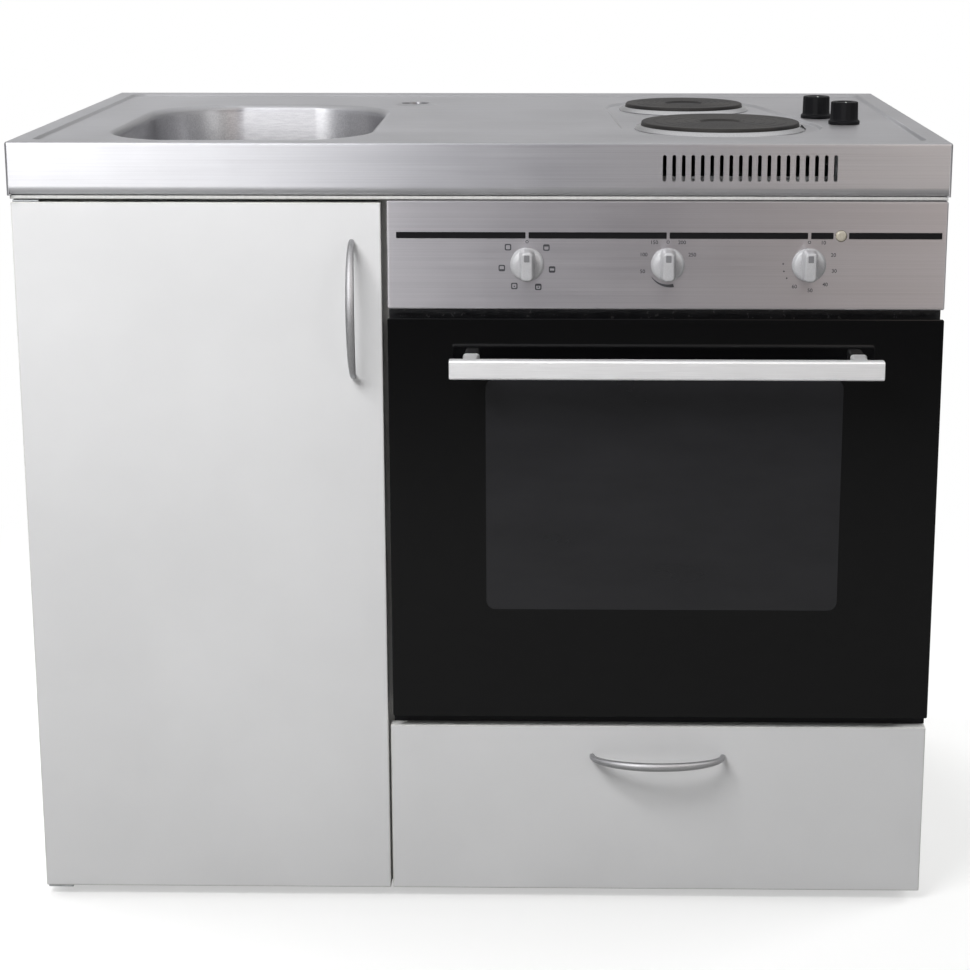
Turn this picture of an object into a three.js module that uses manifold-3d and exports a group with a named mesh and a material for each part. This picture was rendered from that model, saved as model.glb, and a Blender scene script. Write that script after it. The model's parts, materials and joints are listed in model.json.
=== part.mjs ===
// A one-metre kitchenette unit: a pressed steel worktop with a sink and two hotplates, on a cabinet
// that holds a cupboard under the sink, a built-in oven and a drawer under the oven.
// Millimetres. X runs to the right, Y to the rear and Z up. Every size below is measured with Y = 0
// on the face of the worktop's front apron; the finished group is then centred over its footprint.
import * as THREE from 'three';
import { mergeVertices } from 'three/addons/utils/BufferGeometryUtils.js';
import Module from 'manifold-3d';

const wasm = await Module();
wasm.setup();

// Fits
const seatGap = 0.3; // between pieces that rest on or are screwed to each other
const runningGap = 0.5; // between pieces that move past each other
const sheet = 1.2; // pressed steel sheet
const edgeEase = 1; // small bevels on turned and moulded edges
const past = 1; // how far a cut reaches past the piece it cuts

// Cabinet
const sinkCabinetWidth = 400;
const ovenCabinetWidth = 600;
const worktopHeight = 865; // floor to the worktop's raised border
const worktopDepth = 600;
const floorGap = 12;
const board = 16;
const frontBoard = 16;
const frontRecess = 8; // door and drawer faces behind the apron's face
const bumperGap = 4; // carcass edges behind the fronts
const pipeSpace = 15; // carcass rear edge ahead of the worktop's rear edge
const backBoard = 3;
const railBoard = 12;
const railHeight = 53;
const railTopGap = 3.5; // front rail under the deck
const glideRadius = 7.5;
const glideTopRadius = 6;
const glideBevel = 2;
const glideInset = 70;
const pipeOpeningWidth = 200;
const pipeOpeningHeight = 250;
const pipeOpeningBottom = 450;

// Reveals round the fronts
const doorTopReveal = 8;
const doorToPartitionCentre = 3.5;
const doorToDrawer = 2.5;
const doorToOven = 6;
const panelTopReveal = 5;

// Worktop
const apronHeight = 57;
const apronLipRadius = 10;
const apronLipReturn = 4;
const rearLipHeight = 20;
const borderWidth = 24;
const borderHeight = 3;
const deckCornerRadius = 14;
const ventCount = 19;
const ventPitch = 10;
const ventWidth = 4;
const ventHeight = 28;
const ventDrop = 26.7; // border to the middle of the slots
const ventCentreInset = 212.5; // right-hand edge to the middle of the slots
const tapHoleRadius = 17.5;
const tapCollarRadius = 27;
const tapCollarHeight = 2;
const tapHoleOffset = 3; // right of the partition's middle
const tapHoleInset = 134; // from the rear edge
const tapNotchWidth = 70;
const tapNotchDepth = 60;

// Sink
const bowlDepth = 150;
const bowlCornerRadius = 105;
const bowlLeftMargin = 84;
const bowlPartitionGap = 12;
const bowlFrontMargin = 43;
const bowlRearMargin = 140;
const bowlFlange = 8;
const bowlRollRadius = 6;
const bowlDraft = 8;
const bowlFloorRadius = 35;
const bowlFloorFall = 4;
const bowlWasteSeat = 4; // flat rim round the waste's flange
const wasteFlangeRadius = 56;
const wasteFlangeThickness = 1.5;
const wasteCupRadius = 42;
const wasteCupDepth = 56;
const outletRadius = 20;
const outletLength = 34;
const pipeWall = 2.5;
const basketRimRadius = 47;
const basketRadius = 37;
const basketDepth = 32;
const basketKnobRadius = 8;
const basketKnobRise = 5;
const basketKnobHeight = 8;
const basketKnobFlare = 3;
const basketCorner = 4;
const basketHoleRadius = 3;
const basketHoleCount = 8;
const trapSocketRadius = 26;
const trapSocketHeight = 52;
const trapSocketOverlap = 18;
const bottleRadius = 35;
const bottleHeight = 96;
const trapNeckLap = 4; // socket let into the bottle's top
const trapPipeDrop = 26; // bottle's top to the outlet's axis

// Hob
const wellDepth = 3;
const wellMargin = 25;
const frontPlateRadius = 90;
const frontPlateInset = 230; // right-hand edge to the plate's middle
const frontPlateSetback = 202; // front edge to the plate's middle
const rearPlateRadius = 72.5;
const rearPlateInset = 259;
const rearPlateSetback = 430;
const plateRise = 3; // plate's top over the border
const plateThickness = 14;
const plateBaseThickness = 8;
const plateDishRadius = 24;
const plateDishDepth = 2;
const plateEdge = 1.5;
const ringWidth = 8;
const ringRise = 4.5;
const ringLedge = 6;
const hobKnobRadius = 18;
const hobKnobTopRadius = 15.5;
const hobKnobHeight = 26;
const hobKnobSkirt = 4;
const hobKnobShoulder = 2;
const pointerWidth = 1.6;
const pointerDepth = 1;
const hobKnobInsets = { rear: 109, front: 85 }; // from the right-hand edge
const hobKnobSetbacks = { rear: 300, front: 229 }; // from the front edge
const stemRadius = 3;
const stemHoleRadius = 5;
const switchSize = 42;
const switchHeight = 38;
const switchBushRadius = 8;
const switchBushHeight = 6;
const trayDepth = 54;
const trayLeftGap = 20; // leaves the tap hole clear
const trayRightGap = 1;
const trayFrontSetback = 45;
const trayRearGap = 4;

// Sink cabinet door
const hingePinRadius = 2.5;
const hingePinLength = 9;
const hingePlate = 2;
const hingePlateWidth = 28;
const hingePlateSideReach = 5.75;
const hingePlateFrontReach = 7;
const hingePlateRearReach = 54;
const hingeFlangeHeight = 42;

// Bow handles
const bowLength = 147;
const bowReach = 32;
const bowWidth = 9.5;
const bowEndWidth = 5.5;
const bowThickness = 6;
const doorHandleInset = 31.5; // from the door's free edge
const doorHandleDrop = 42; // door's top edge to the handle's top end
const drawerHandleDrop = 35.5;

// Drawer
const drawerFrontHeight = 197.5;
const drawerSideBoard = 12;
const drawerSideHeight = 116;
const drawerFloorRise = 22; // underside of the box over the front's lower edge
const drawerBottomBoard = 6;
const drawerBottomRise = 4;
const drawerLength = 476;
const runnerRoom = 13;
const runnerSheet = 1.2;
const runnerHeight = 20;
const runnerRise = 6; // over the box's underside
const runnerLength = 450;
const runnerSetback = 2;
const runnerReach = 8;

// Oven, its front and its control panel
const shelfRise = 6.5; // shelf's top over the drawer front
const ovenDoorRise = 7; // glass over the shelf's top
const ovenDoorFace = 2; // behind the apron's face
const ovenDoorDepth = 21;
const ovenGlass = 4;
const ovenGlassCorner = 2;
const ventGapHeight = 10;
const panelHeight = 117;
const panelFace = 4;
const trimHeight = 6.2;
const trimDepth = 7.4;
const casingWidth = 556;
const casingTopDrop = 6;
const casingRearGap = 15;
const cavityWidth = 440;
const cavityHeight = 330;
const cavityDepth = 400;
const cavityRise = 57; // cavity's floor over the glass's lower edge
const framePlateRise = 2; // over the shelf
const panelOpeningMargin = 16; // frame plate round its opening behind the panel
const railLevels = 4;
const railPitch = 62;
const firstRailRise = 50;
const railReach = 7;
const railThickness = 2;
const railFrontSetback = 16;
const gasketWidth = 8;
const gasketMargin = 6;
const gasketCorner = 4;
const grillRadius = 3.5;
const grillDrop = 14;
const grillMargin = 60; // loop to the cavity's front and rear
const grillTurn = 40;
const grillBridge = 26;
const rackWireRadius = 1.5;
const rackFrameRadius = 2.6;
const rackSideRadius = 2.3;
const rackWireCount = 15;
const rackLevel = 2;
const rackFrontSetback = 30;
const rackRearGap = 16;
const panFrontInset = 5.5; // glass edge to the frame's sides
const panBottomRise = 6;
const panTopDrop = 4;
const windowSideInset = 105; // glass edge to the window
const windowRise = 126;
const windowHeight = 261;
const windowCorner = 10;
const innerGlassLap = 16;
const innerGlassCorner = 4;
const ovenHandleLength = 460;
const ovenHandleHeight = 21;
const ovenHandleThickness = 12;
const ovenHandleEdge = 2.5;
const ovenHandleReach = 45;
const ovenHandleDrop = 47; // glass's top edge to the bar's middle
const ovenPostWidth = 16;
const ovenPostInset = 22;
const pivotRise = 11; // over the glass's lower edge
const pivotSetback = 11; // behind the glass's face
const pivotPinRadius = 3;
const hingeInset = 37.5; // glass edge to the hinge arm
const hingeArm = 4;
const hingeArmHeight = 8;
const hingeEyeRadius = 4.6;
const hingeCheek = 2;
const hingeSideGap = 1.5;
const hingeFootWidth = 18;
const hingeFootHeight = 20;
const slitHeight = 7;
const slitDrop = 37; // panel's top edge to the slit's middle
const slitLeftInset = 10.5;
const slitRightInset = 5.5;
const slitStripLap = 4;
const lampRadius = 6;
const lampInset = 112.5;
const lampLength = 20;
const lampProud = 1;
const lampDome = 1.5;
const ovenKnobDrop = 68; // panel's top edge to the knobs' middle
const ovenKnobPitch = 150;
const ovenKnobShift = 2; // right of the panel's middle
const ovenKnobRadius = 18;
const ovenKnobSkirt = 6;
const ovenKnobReach = 20;
const ovenKnobSkirtBevel = 2;
const ovenKnobGrip = 16;
const ovenKnobGripEdge = 5;
const ovenKnobGripInset = 1;
const ovenSwitchSize = 44;
const ovenSwitchDepth = 42;
const switchBarSetback = 8;
const switchBarThickness = 2;
const switchBarHeight = 26;
const switchBarFoot = 12;
const switchBarOverhang = 18; // past the cavity's sides

// Faceting
const roundSteps = 32;
const smallSteps = 12;

// Edges and levels that several pieces share
const unitWidth = sinkCabinetWidth + ovenCabinetWidth;
const unitLeft = -unitWidth / 2;
const unitRight = unitWidth / 2;
const carcassLeft = unitLeft + sheet + seatGap;
const carcassRight = unitRight - sheet - seatGap;
const partitionX = unitLeft + sinkCabinetWidth;
const partitionLeft = partitionX - board / 2;
const partitionRight = partitionX + board / 2;
const nicheRight = carcassRight - board;
const fitLeft = carcassLeft + board + seatGap;
const frontRear = frontRecess + frontBoard;
const carcassFront = frontRear + bumperGap;
const carcassRear = worktopDepth - pipeSpace;
const deckTop = worktopHeight - borderHeight;
const deckUnder = deckTop - sheet;
const apronBottom = worktopHeight - apronHeight;
const underDeck = deckUnder - seatGap;
const railBottom = underDeck - railTopGap - railHeight;
const doorTop = apronBottom - doorTopReveal;
const doorRight = partitionX - doorToPartitionCentre;
const drawerLeft = doorRight + doorToDrawer;
const drawerTop = floorGap + drawerFrontHeight;
const shelfTop = drawerTop + shelfRise;
const ovenLeft = doorRight + doorToOven;
const ovenCentre = (ovenLeft + carcassRight) / 2;
const glassBottom = shelfTop + ovenDoorRise;
const panelTop = apronBottom - panelTopReveal;
const panelBottom = panelTop - panelHeight;
const glassTop = panelBottom - ventGapHeight;
const framePlateRear = carcassFront - seatGap;
const framePlateFront = framePlateRear - sheet;
const ovenDoorRear = ovenDoorFace + ovenDoorDepth;
const cavityFloor = glassBottom + cavityRise;
const cavityTop = cavityFloor + cavityHeight;
const cavityLeft = ovenCentre - cavityWidth / 2;
const cavityRight = ovenCentre + cavityWidth / 2;
const cavityRear = framePlateFront + cavityDepth;
const bowlLeft = unitLeft + bowlLeftMargin;
const bowlRight = partitionLeft - bowlPartitionGap;
const bowlFront = bowlFrontMargin;
const bowlRear = worktopDepth - bowlRearMargin;
const bowlX = (bowlLeft + bowlRight) / 2;
const bowlY = (bowlFront + bowlRear) / 2;
const bowlFloor = underDeck - bowlDepth;
const frontPlate = { x: unitRight - frontPlateInset, y: frontPlateSetback, r: frontPlateRadius };
const rearPlate = { x: unitRight - rearPlateInset, y: rearPlateSetback, r: rearPlateRadius };
const tapX = partitionX + tapHoleOffset;
const tapY = worktopDepth - tapHoleInset;

// Looks
const look = (color, roughness, metalness) => new THREE.MeshStandardMaterial({ color, roughness, metalness });
const looks = {
  stainless: look(0xb9b9bb, 0.35, 1),
  laminate: look(0xe4e4e3, 0.45, 0),
  rawBoard: look(0xd8d6d0, 0.6, 0),
  glassBlack: look(0x15161a, 0.08, 0),
  ironBlack: look(0x2b2b2e, 0.6, 0.4),
  enamel: look(0x33353a, 0.3, 0.1),
  zincSheet: look(0xa9adb0, 0.45, 0.9),
  satinHandle: look(0xa7a8ab, 0.3, 0.9),
  silverPaint: look(0xdcdcdc, 0.35, 0.2),
  blackPlastic: look(0x151517, 0.5, 0),
  whitePlastic: look(0xe9e9e6, 0.5, 0),
  sealGrey: look(0x3c3c3e, 0.9, 0),
  lampAmber: look(0xd8c9a8, 0.3, 0),
};

// ---- Solids ----

// A closed geometry as a solid that can be cut and joined, faces out whichever way it was wound.
function solidOf(geometry) {
  const bare = geometry.clone();
  bare.deleteAttribute('normal');
  bare.deleteAttribute('uv');
  const merged = mergeVertices(bare, 1e-4);
  const points = merged.attributes.position;
  const corner = [new THREE.Vector3(), new THREE.Vector3(), new THREE.Vector3()];
  const faces = [];
  let volume = 0;
  for (let i = 0; i < merged.index.count; i += 3) {
    const face = [0, 1, 2].map((k) => merged.index.getX(i + k));
    if (new Set(face).size < 3) continue;
    face.forEach((vertex, k) => corner[k].fromBufferAttribute(points, vertex));
    volume += corner[0].dot(corner[1].clone().cross(corner[2]));
    faces.push(face);
  }
  const outward = faces.map(([a, b, c]) => (volume < 0 ? [a, c, b] : [a, b, c]));
  const triVerts = Uint32Array.from(outward.flat());
  return new wasm.Manifold(new wasm.Mesh({ numProp: 3, vertProperties: points.array, triVerts }));
}

function geometryOf(solid) {
  const { vertProperties, triVerts } = solid.getMesh();
  const geometry = new THREE.BufferGeometry();
  geometry.setAttribute('position', new THREE.BufferAttribute(vertProperties, 3));
  geometry.setIndex(new THREE.BufferAttribute(triVerts, 1));
  geometry.computeVertexNormals();
  return geometry;
}

const joined = (...solids) => solids.reduce((whole, next) => whole.add(next));
const cut = (solid, ...tools) => tools.reduce((whole, next) => whole.subtract(next), solid);

// A box between two corners, its vertices set to them exactly, so that boxes that share a plane meet.
function block([x0, x1], [y0, y1], [z0, z1]) {
  const geometry = new THREE.BoxGeometry(1, 1, 1);
  const points = geometry.attributes.position;
  for (let i = 0; i < points.count; i++) {
    const [x, y] = [points.getX(i) < 0 ? x0 : x1, points.getY(i) < 0 ? y0 : y1];
    points.setXYZ(i, x, y, points.getZ(i) < 0 ? z0 : z1);
  }
  return solidOf(geometry);
}

// A flat shape pushed along an axis. Its two directions are X and Y, X and Z, or Y and Z.
const pushes = {
  z: [[1, 0, 0], [0, 1, 0], [0, 0, 1]],
  y: [[1, 0, 0], [0, 0, 1], [0, -1, 0]],
  x: [[0, 1, 0], [0, 0, 1], [1, 0, 0]],
};

function prism(shape, axis, from, to, curveSegments = 8) {
  const geometry = new THREE.ExtrudeGeometry(shape, { depth: to - from, bevelEnabled: false, curveSegments });
  const points = geometry.attributes.position;
  for (let i = 0; i < points.count; i++) {
    const isFar = points.getZ(i) > (to - from) / 2;
    points.setZ(i, axis === 'y' ? (isFar ? -from : -to) : isFar ? to : from);
  }
  const basis = pushes[axis].map((direction) => new THREE.Vector3(...direction));
  return solidOf(geometry.applyMatrix4(new THREE.Matrix4().makeBasis(...basis)));
}

function roundedRect(x0, x1, y0, y1, r) {
  const shape = new THREE.Shape();
  shape.moveTo(x0 + r, y0);
  shape.lineTo(x1 - r, y0).absarc(x1 - r, y0 + r, r, -Math.PI / 2, 0, false);
  shape.lineTo(x1, y1 - r).absarc(x1 - r, y1 - r, r, 0, Math.PI / 2, false);
  shape.lineTo(x0 + r, y1).absarc(x0 + r, y1 - r, r, Math.PI / 2, Math.PI, false);
  shape.lineTo(x0, y0 + r).absarc(x0 + r, y0 + r, r, Math.PI, 1.5 * Math.PI, false);
  return shape;
}

// An upright slot with round ends.
function capsule(x, bottom, top, r) {
  const shape = new THREE.Shape();
  shape.absarc(x, top - r, r, 0, Math.PI, false);
  shape.absarc(x, bottom + r, r, Math.PI, 2 * Math.PI, false);
  return shape;
}

// A turned solid from [radius, height] points, its axis up, or forward with heights towards the front.
function turned(profile, facing = 'up', steps = roundSteps) {
  const geometry = new THREE.LatheGeometry(profile.map(([r, h]) => new THREE.Vector2(r, h)), steps);
  return solidOf(geometry.rotateX(facing === 'up' ? Math.PI / 2 : Math.PI));
}

function turnedRing(profile, facing = 'up', steps = roundSteps) {
  return turned([...profile, profile[0]], facing, steps);
}

// A round rod between two heights on the Z axis, or between two places on the X or Y axis.
function rod(axis, radius, from, to, steps = smallSteps) {
  const geometry = new THREE.CylinderGeometry(radius, radius, 1, steps);
  const points = geometry.attributes.position;
  for (let i = 0; i < points.count; i++) points.setY(i, points.getY(i) < 0 ? from : to);
  if (axis === 'x') geometry.rotateZ(-Math.PI / 2);
  if (axis === 'z') geometry.rotateX(Math.PI / 2);
  return solidOf(geometry);
}

// Joins rings of equally many points. A tube closes on itself, and anything else gets its two ends.
function loft(rings, isTube = false) {
  const count = rings[0].length;
  const points = rings.flat().flatMap(({ x, y, z }) => [x, y, z]);
  const faces = [];
  const spans = isTube ? rings.length : rings.length - 1;
  for (let k = 0; k < spans; k++) {
    const here = k * count;
    const next = ((k + 1) % rings.length) * count;
    for (let i = 0; i < count; i++) {
      const j = (i + 1) % count;
      faces.push(here + i, here + j, next + j, here + i, next + j, next + i);
    }
  }
  if (!isTube) {
    const last = (rings.length - 1) * count;
    for (let i = 1; i < count - 1; i++) faces.push(0, i + 1, i, last, last + i, last + i + 1);
  }
  const geometry = new THREE.BufferGeometry();
  geometry.setAttribute('position', new THREE.Float32BufferAttribute(points, 3));
  geometry.setIndex(faces);
  return solidOf(geometry);
}

// ---- The scene graph ----

const unit = new THREE.Group();

function add(name, solid, material, [x, y, z] = [0, 0, 0]) {
  const mesh = new THREE.Mesh(geometryOf(solid), material);
  mesh.name = name;
  mesh.position.set(x, y, z);
  unit.add(mesh);
}

// ---- Worktop ----

// The outline round both hotplates, a given margin outside them: two arcs and their outer tangents.
function wellOutline(margin) {
  const reach = Math.hypot(rearPlate.x - frontPlate.x, rearPlate.y - frontPlate.y);
  const bearing = Math.atan2(rearPlate.y - frontPlate.y, rearPlate.x - frontPlate.x);
  const tangent = Math.acos((frontPlate.r - rearPlate.r) / reach);
  const shape = new THREE.Shape();
  const [from, to] = [bearing + tangent, bearing - tangent];
  shape.absarc(frontPlate.x, frontPlate.y, frontPlate.r + margin, from, to + 2 * Math.PI, false);
  shape.absarc(rearPlate.x, rearPlate.y, rearPlate.r + margin, to, from, false);
  return shape;
}

function ventSlots() {
  const middle = worktopHeight - ventDrop;
  const start = unitRight - ventCentreInset - ((ventCount - 1) * ventPitch) / 2;
  const slots = [];
  for (let i = 0; i < ventCount; i++) {
    const x = start + i * ventPitch;
    const [bottom, top] = [middle - ventHeight / 2, middle + ventHeight / 2];
    slots.push(prism(capsule(x, bottom, top, ventWidth / 2), 'y', -sheet, 2 * sheet, 3));
  }
  return joined(...slots);
}

// The front apron with its rolled lip, and the plain aprons at both sides, as one skirt open to the rear.
function skirt() {
  const [outer, inner, top] = [apronLipRadius, apronLipRadius - sheet, worktopHeight - sheet];
  const middle = apronBottom + outer;
  const [lipRear, lipTop] = [outer + apronLipReturn, apronBottom + sheet];
  const outside = new THREE.Shape();
  outside.moveTo(0, top).lineTo(0, middle).absarc(outer, middle, outer, Math.PI, 1.5 * Math.PI, false);
  outside.lineTo(worktopDepth, apronBottom).lineTo(worktopDepth, top);
  const inside = new THREE.Shape();
  inside.moveTo(sheet, top + past).lineTo(sheet, middle);
  inside.absarc(outer, middle, inner, Math.PI, 1.5 * Math.PI, false);
  inside.lineTo(lipRear, lipTop).lineTo(lipRear, apronBottom - past);
  inside.lineTo(worktopDepth + past, apronBottom - past).lineTo(worktopDepth + past, top + past);
  return cut(
    prism(outside, 'x', unitLeft, unitRight, 5),
    prism(inside, 'x', unitLeft + sheet, unitRight - sheet, 5));
}

function tapCollar() {
  const [base, top] = [deckUnder, deckTop + tapCollarHeight];
  const rim = tapHoleRadius + sheet;
  const collar = [[0, base], [tapCollarRadius, base], [tapCollarRadius, deckTop], [rim, top], [0, top]];
  return turned(collar).translate([tapX, tapY, 0]);
}

function worktop() {
  const [step, under] = [borderWidth - sheet, worktopHeight - sheet];
  const border = block([unitLeft, unitRight], [0, worktopDepth], [worktopHeight - sheet, worktopHeight]);
  const pan = block([unitLeft + step, unitRight - step], [step, worktopDepth - step], [deckUnder, under]);
  const deck = roundedRect(
    unitLeft + borderWidth, unitRight - borderWidth, borderWidth, worktopDepth - borderWidth,
    deckCornerRadius);
  const rearLip = block([unitLeft, unitRight], [worktopDepth - sheet, worktopDepth],
    [worktopHeight - rearLipHeight, under]);
  const [wellTop, wellUnder] = [deckTop - wellDepth, deckUnder - wellDepth];
  const bowlMouth = roundedRect(bowlLeft, bowlRight, bowlFront, bowlRear, bowlCornerRadius);
  const plateHoles = [frontPlate, rearPlate].map(({ x, y, r }) =>
    rod('z', r + ringWidth - ringLedge + runningGap, wellUnder - past, deckTop, roundSteps)
      .translate([x, y, 0]));
  const stemHoles = ['front', 'rear'].map((place) =>
    rod('z', stemHoleRadius, deckUnder - past, deckTop + past)
      .translate([unitRight - hobKnobInsets[place], hobKnobSetbacks[place], 0]));
  const pressed = cut(
    joined(cut(joined(border, pan), prism(deck, 'z', deckTop, worktopHeight + past, 3)),
      prism(wellOutline(wellMargin + sheet), 'z', wellUnder, deckUnder + sheet / 2, 14)),
    prism(wellOutline(wellMargin), 'z', wellTop, deckTop + past, 14),
    prism(bowlMouth, 'z', wellUnder, deckTop + past, 8));
  const tapHole = rod('z', tapHoleRadius, deckUnder - past, deckTop + tapCollarHeight + past, roundSteps);
  const solid = cut(
    joined(pressed, skirt(), rearLip, tapCollar()),
    ventSlots(), tapHole.translate([tapX, tapY, 0]), ...plateHoles, ...stemHoles);
  add('worktop', solid, looks.stainless);
}

// ---- Sink ----

// A rounded rectangle round the bowl's middle as a ring of points, inset from the bowl's mouth.
function bowlRing(inset, z) {
  const half = [(bowlRight - bowlLeft) / 2 - inset, (bowlRear - bowlFront) / 2 - inset];
  return cornerRing(half, Math.max(bowlCornerRadius - inset, sheet), z);
}

function cornerRing([halfX, halfY], r, z) {
  const steps = 7;
  const ring = [];
  const corners = [[1, 1], [-1, 1], [-1, -1], [1, -1]];
  corners.forEach(([sideX, sideY], quarter) => {
    for (let i = 0; i <= steps; i++) {
      const angle = ((quarter + i / steps) * Math.PI) / 2;
      const x = bowlX + sideX * (halfX - r) + r * Math.cos(angle);
      ring.push(new THREE.Vector3(x, bowlY + sideY * (halfY - r) + r * Math.sin(angle), z));
    }
  });
  return ring;
}

// The bowl's section from flange to floor as [inset, height], grown outward by a wall thickness.
function bowlSection(wall) {
  const rollCentre = [0, underDeck - bowlRollRadius];
  const wallFoot = [bowlRollRadius + bowlDraft, bowlFloor + bowlFloorRadius];
  const section = [[-bowlFlange, underDeck - wall]];
  for (const angle of [90, 60, 30, 0]) {
    const a = THREE.MathUtils.degToRad(angle);
    const r = bowlRollRadius - wall;
    section.push([rollCentre[0] + r * Math.cos(a), rollCentre[1] + r * Math.sin(a)]);
  }
  for (const angle of [0, 22.5, 45, 67.5, 90]) {
    const a = THREE.MathUtils.degToRad(angle);
    const r = bowlFloorRadius + wall;
    section.push([wallFoot[0] + bowlFloorRadius - r * Math.cos(a), wallFoot[1] - r * Math.sin(a)]);
  }
  return section;
}

function sinkBowl() {
  const rings = (wall) => [
    ...bowlSection(wall).map(([inset, z]) => bowlRing(inset, z)),
    ...[wasteFlangeRadius + bowlWasteSeat, wasteCupRadius + seatGap + runningGap].map((r) =>
      cornerRing([r, r], r, bowlFloor - bowlFloorFall - wall)),
  ];
  add('sink_bowl', loft([...rings(0), ...rings(sheet).reverse()], true), looks.stainless);
}

const wasteSeat = bowlFloor - bowlFloorFall + seatGap;
const wasteBottom = wasteSeat - wasteCupDepth;
const outletBottom = wasteBottom - outletLength;

function sinkWaste() {
  const [cup, pipe, wall] = [wasteCupRadius, outletRadius, wasteFlangeThickness];
  const rim = wasteSeat + wall;
  add('sink_waste', turnedRing([
    [wasteFlangeRadius, wasteSeat], [wasteFlangeRadius - edgeEase, rim], [cup - wall, rim - edgeEase],
    [cup - wall, wasteBottom + wall], [pipe - pipeWall, wasteBottom + wall], [pipe - pipeWall, outletBottom],
    [pipe, outletBottom], [pipe, wasteBottom], [cup, wasteBottom], [cup, wasteSeat],
  ]), looks.stainless, [bowlX, bowlY, 0]);
}

function strainerBasket() {
  const rim = wasteSeat + wasteFlangeThickness + seatGap;
  const floor = rim - basketDepth;
  const knobTop = rim + basketKnobRise;
  const knobFoot = knobTop - basketKnobHeight;
  const cup = turned([
    [0, floor], [basketRadius - basketCorner, floor], [basketRadius, floor + basketCorner],
    [basketRadius, rim], [basketRimRadius, rim], [basketRimRadius, rim + sheet],
    [basketRadius - sheet, rim + sheet], [basketRadius - sheet, floor + basketCorner + sheet],
    [basketRadius - basketCorner - sheet, floor + sheet],
    [stemRadius, floor + sheet], [stemRadius, knobFoot], [basketKnobRadius, knobFoot + basketKnobFlare],
    [basketKnobRadius, knobTop - edgeEase], [0, knobTop],
  ], 'up', 24);
  const holes = [];
  for (let i = 0; i < basketHoleCount; i++) {
    const angle = (2 * Math.PI * i) / basketHoleCount;
    const reach = basketRadius / 2 + basketHoleRadius;
    const place = [reach * Math.cos(angle), reach * Math.sin(angle), 0];
    holes.push(rod('z', basketHoleRadius, floor - past, floor + sheet + past, 6).translate(place));
  }
  add('strainer_basket', cut(cup, ...holes), looks.stainless, [bowlX, bowlY, 0]);
}

function wasteTrap() {
  const socketTop = outletBottom + trapSocketOverlap;
  const socketBottom = socketTop - trapSocketHeight;
  const bottleTop = socketBottom + trapNeckLap;
  const bottleBottom = bottleTop - bottleHeight;
  const axis = bottleTop - trapPipeDrop;
  const rear = worktopDepth - sheet - bowlY;
  const bore = outletRadius - pipeWall;
  const outside = joined(
    rod('z', trapSocketRadius, socketBottom, socketTop, 24),
    rod('z', bottleRadius, bottleBottom, bottleTop, 24),
    rod('y', outletRadius, 0, rear, 24).translate([0, 0, axis]));
  const inside = joined(
    rod('z', outletRadius + seatGap, outletBottom - seatGap, socketTop + past, 24),
    rod('z', bore, axis, outletBottom, 24),
    rod('z', bottleRadius - pipeWall, bottleBottom + pipeWall, bottleTop - pipeWall, 24),
    rod('y', bore, 0, rear + past, 24).translate([0, 0, axis]));
  add('waste_trap', cut(outside, inside), looks.whitePlastic, [bowlX, bowlY, 0]);
}

// ---- Hob ----

function hotplate(place, { x, y, r }) {
  const wellTop = deckTop - wellDepth;
  const top = worktopHeight + plateRise;
  const under = top - plateThickness;
  const inner = r + seatGap;
  const collar = r + ringWidth - ringLedge;
  const ledgeTop = under - seatGap;
  const ledgeUnder = ledgeTop - sheet;
  const edge = wellTop + seatGap;
  add(`hob_ring_${place}`, turnedRing([
    [inner, edge + ringRise - edgeEase], [inner + edgeEase, edge + ringRise],
    [r + ringWidth - edgeEase, edge + sheet], [r + ringWidth, edge], [collar, edge], [collar, ledgeUnder],
    [r - ringLedge, ledgeUnder], [r - ringLedge, ledgeTop], [inner, ledgeTop],
  ]), looks.stainless, [x, y, 0]);
  const base = r - ringLedge - runningGap;
  add(`hob_plate_${place}`, turned([
    [0, under - plateBaseThickness], [base, under - plateBaseThickness], [base, under], [r, under],
    [r, top - plateEdge], [r - plateEdge, top], [plateDishRadius, top],
    [plateDishRadius - plateDishDepth, top - plateDishDepth], [0, top - plateDishDepth],
  ]), looks.ironBlack, [x, y, 0]);
}

function hobControl(place) {
  const [x, y] = [unitRight - hobKnobInsets[place], hobKnobSetbacks[place]];
  const bodyTop = underDeck - switchBushHeight;
  const stemFoot = bodyTop - switchBushHeight;
  const half = switchSize / 2;
  const body = joined(
    block([-half, half], [-half, half], [bodyTop - switchHeight, bodyTop]),
    rod('z', switchBushRadius, bodyTop - past, underDeck));
  const bore = rod('z', stemRadius + seatGap, stemFoot - past, underDeck + past);
  add(`hob_switch_${place}`, cut(body, bore), looks.whitePlastic, [x, y, 0]);
  const [base, top] = [deckTop + seatGap, deckTop + hobKnobHeight];
  const knob = turned([
    [0, stemFoot], [stemRadius, stemFoot], [stemRadius, base], [hobKnobRadius, base],
    [hobKnobRadius, base + hobKnobSkirt],
    [hobKnobTopRadius + edgeEase, base + hobKnobSkirt + hobKnobShoulder],
    [hobKnobTopRadius, top - edgeEase], [hobKnobTopRadius - edgeEase, top], [0, top],
  ]);
  const pointer = block([-pointerWidth / 2, pointerWidth / 2],
    [-hobKnobTopRadius - past, -hobKnobTopRadius / 2], [top - pointerDepth, top + past]);
  add(`hob_knob_${place}`, cut(knob, pointer), looks.blackPlastic, [x, y, 0]);
}

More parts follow.
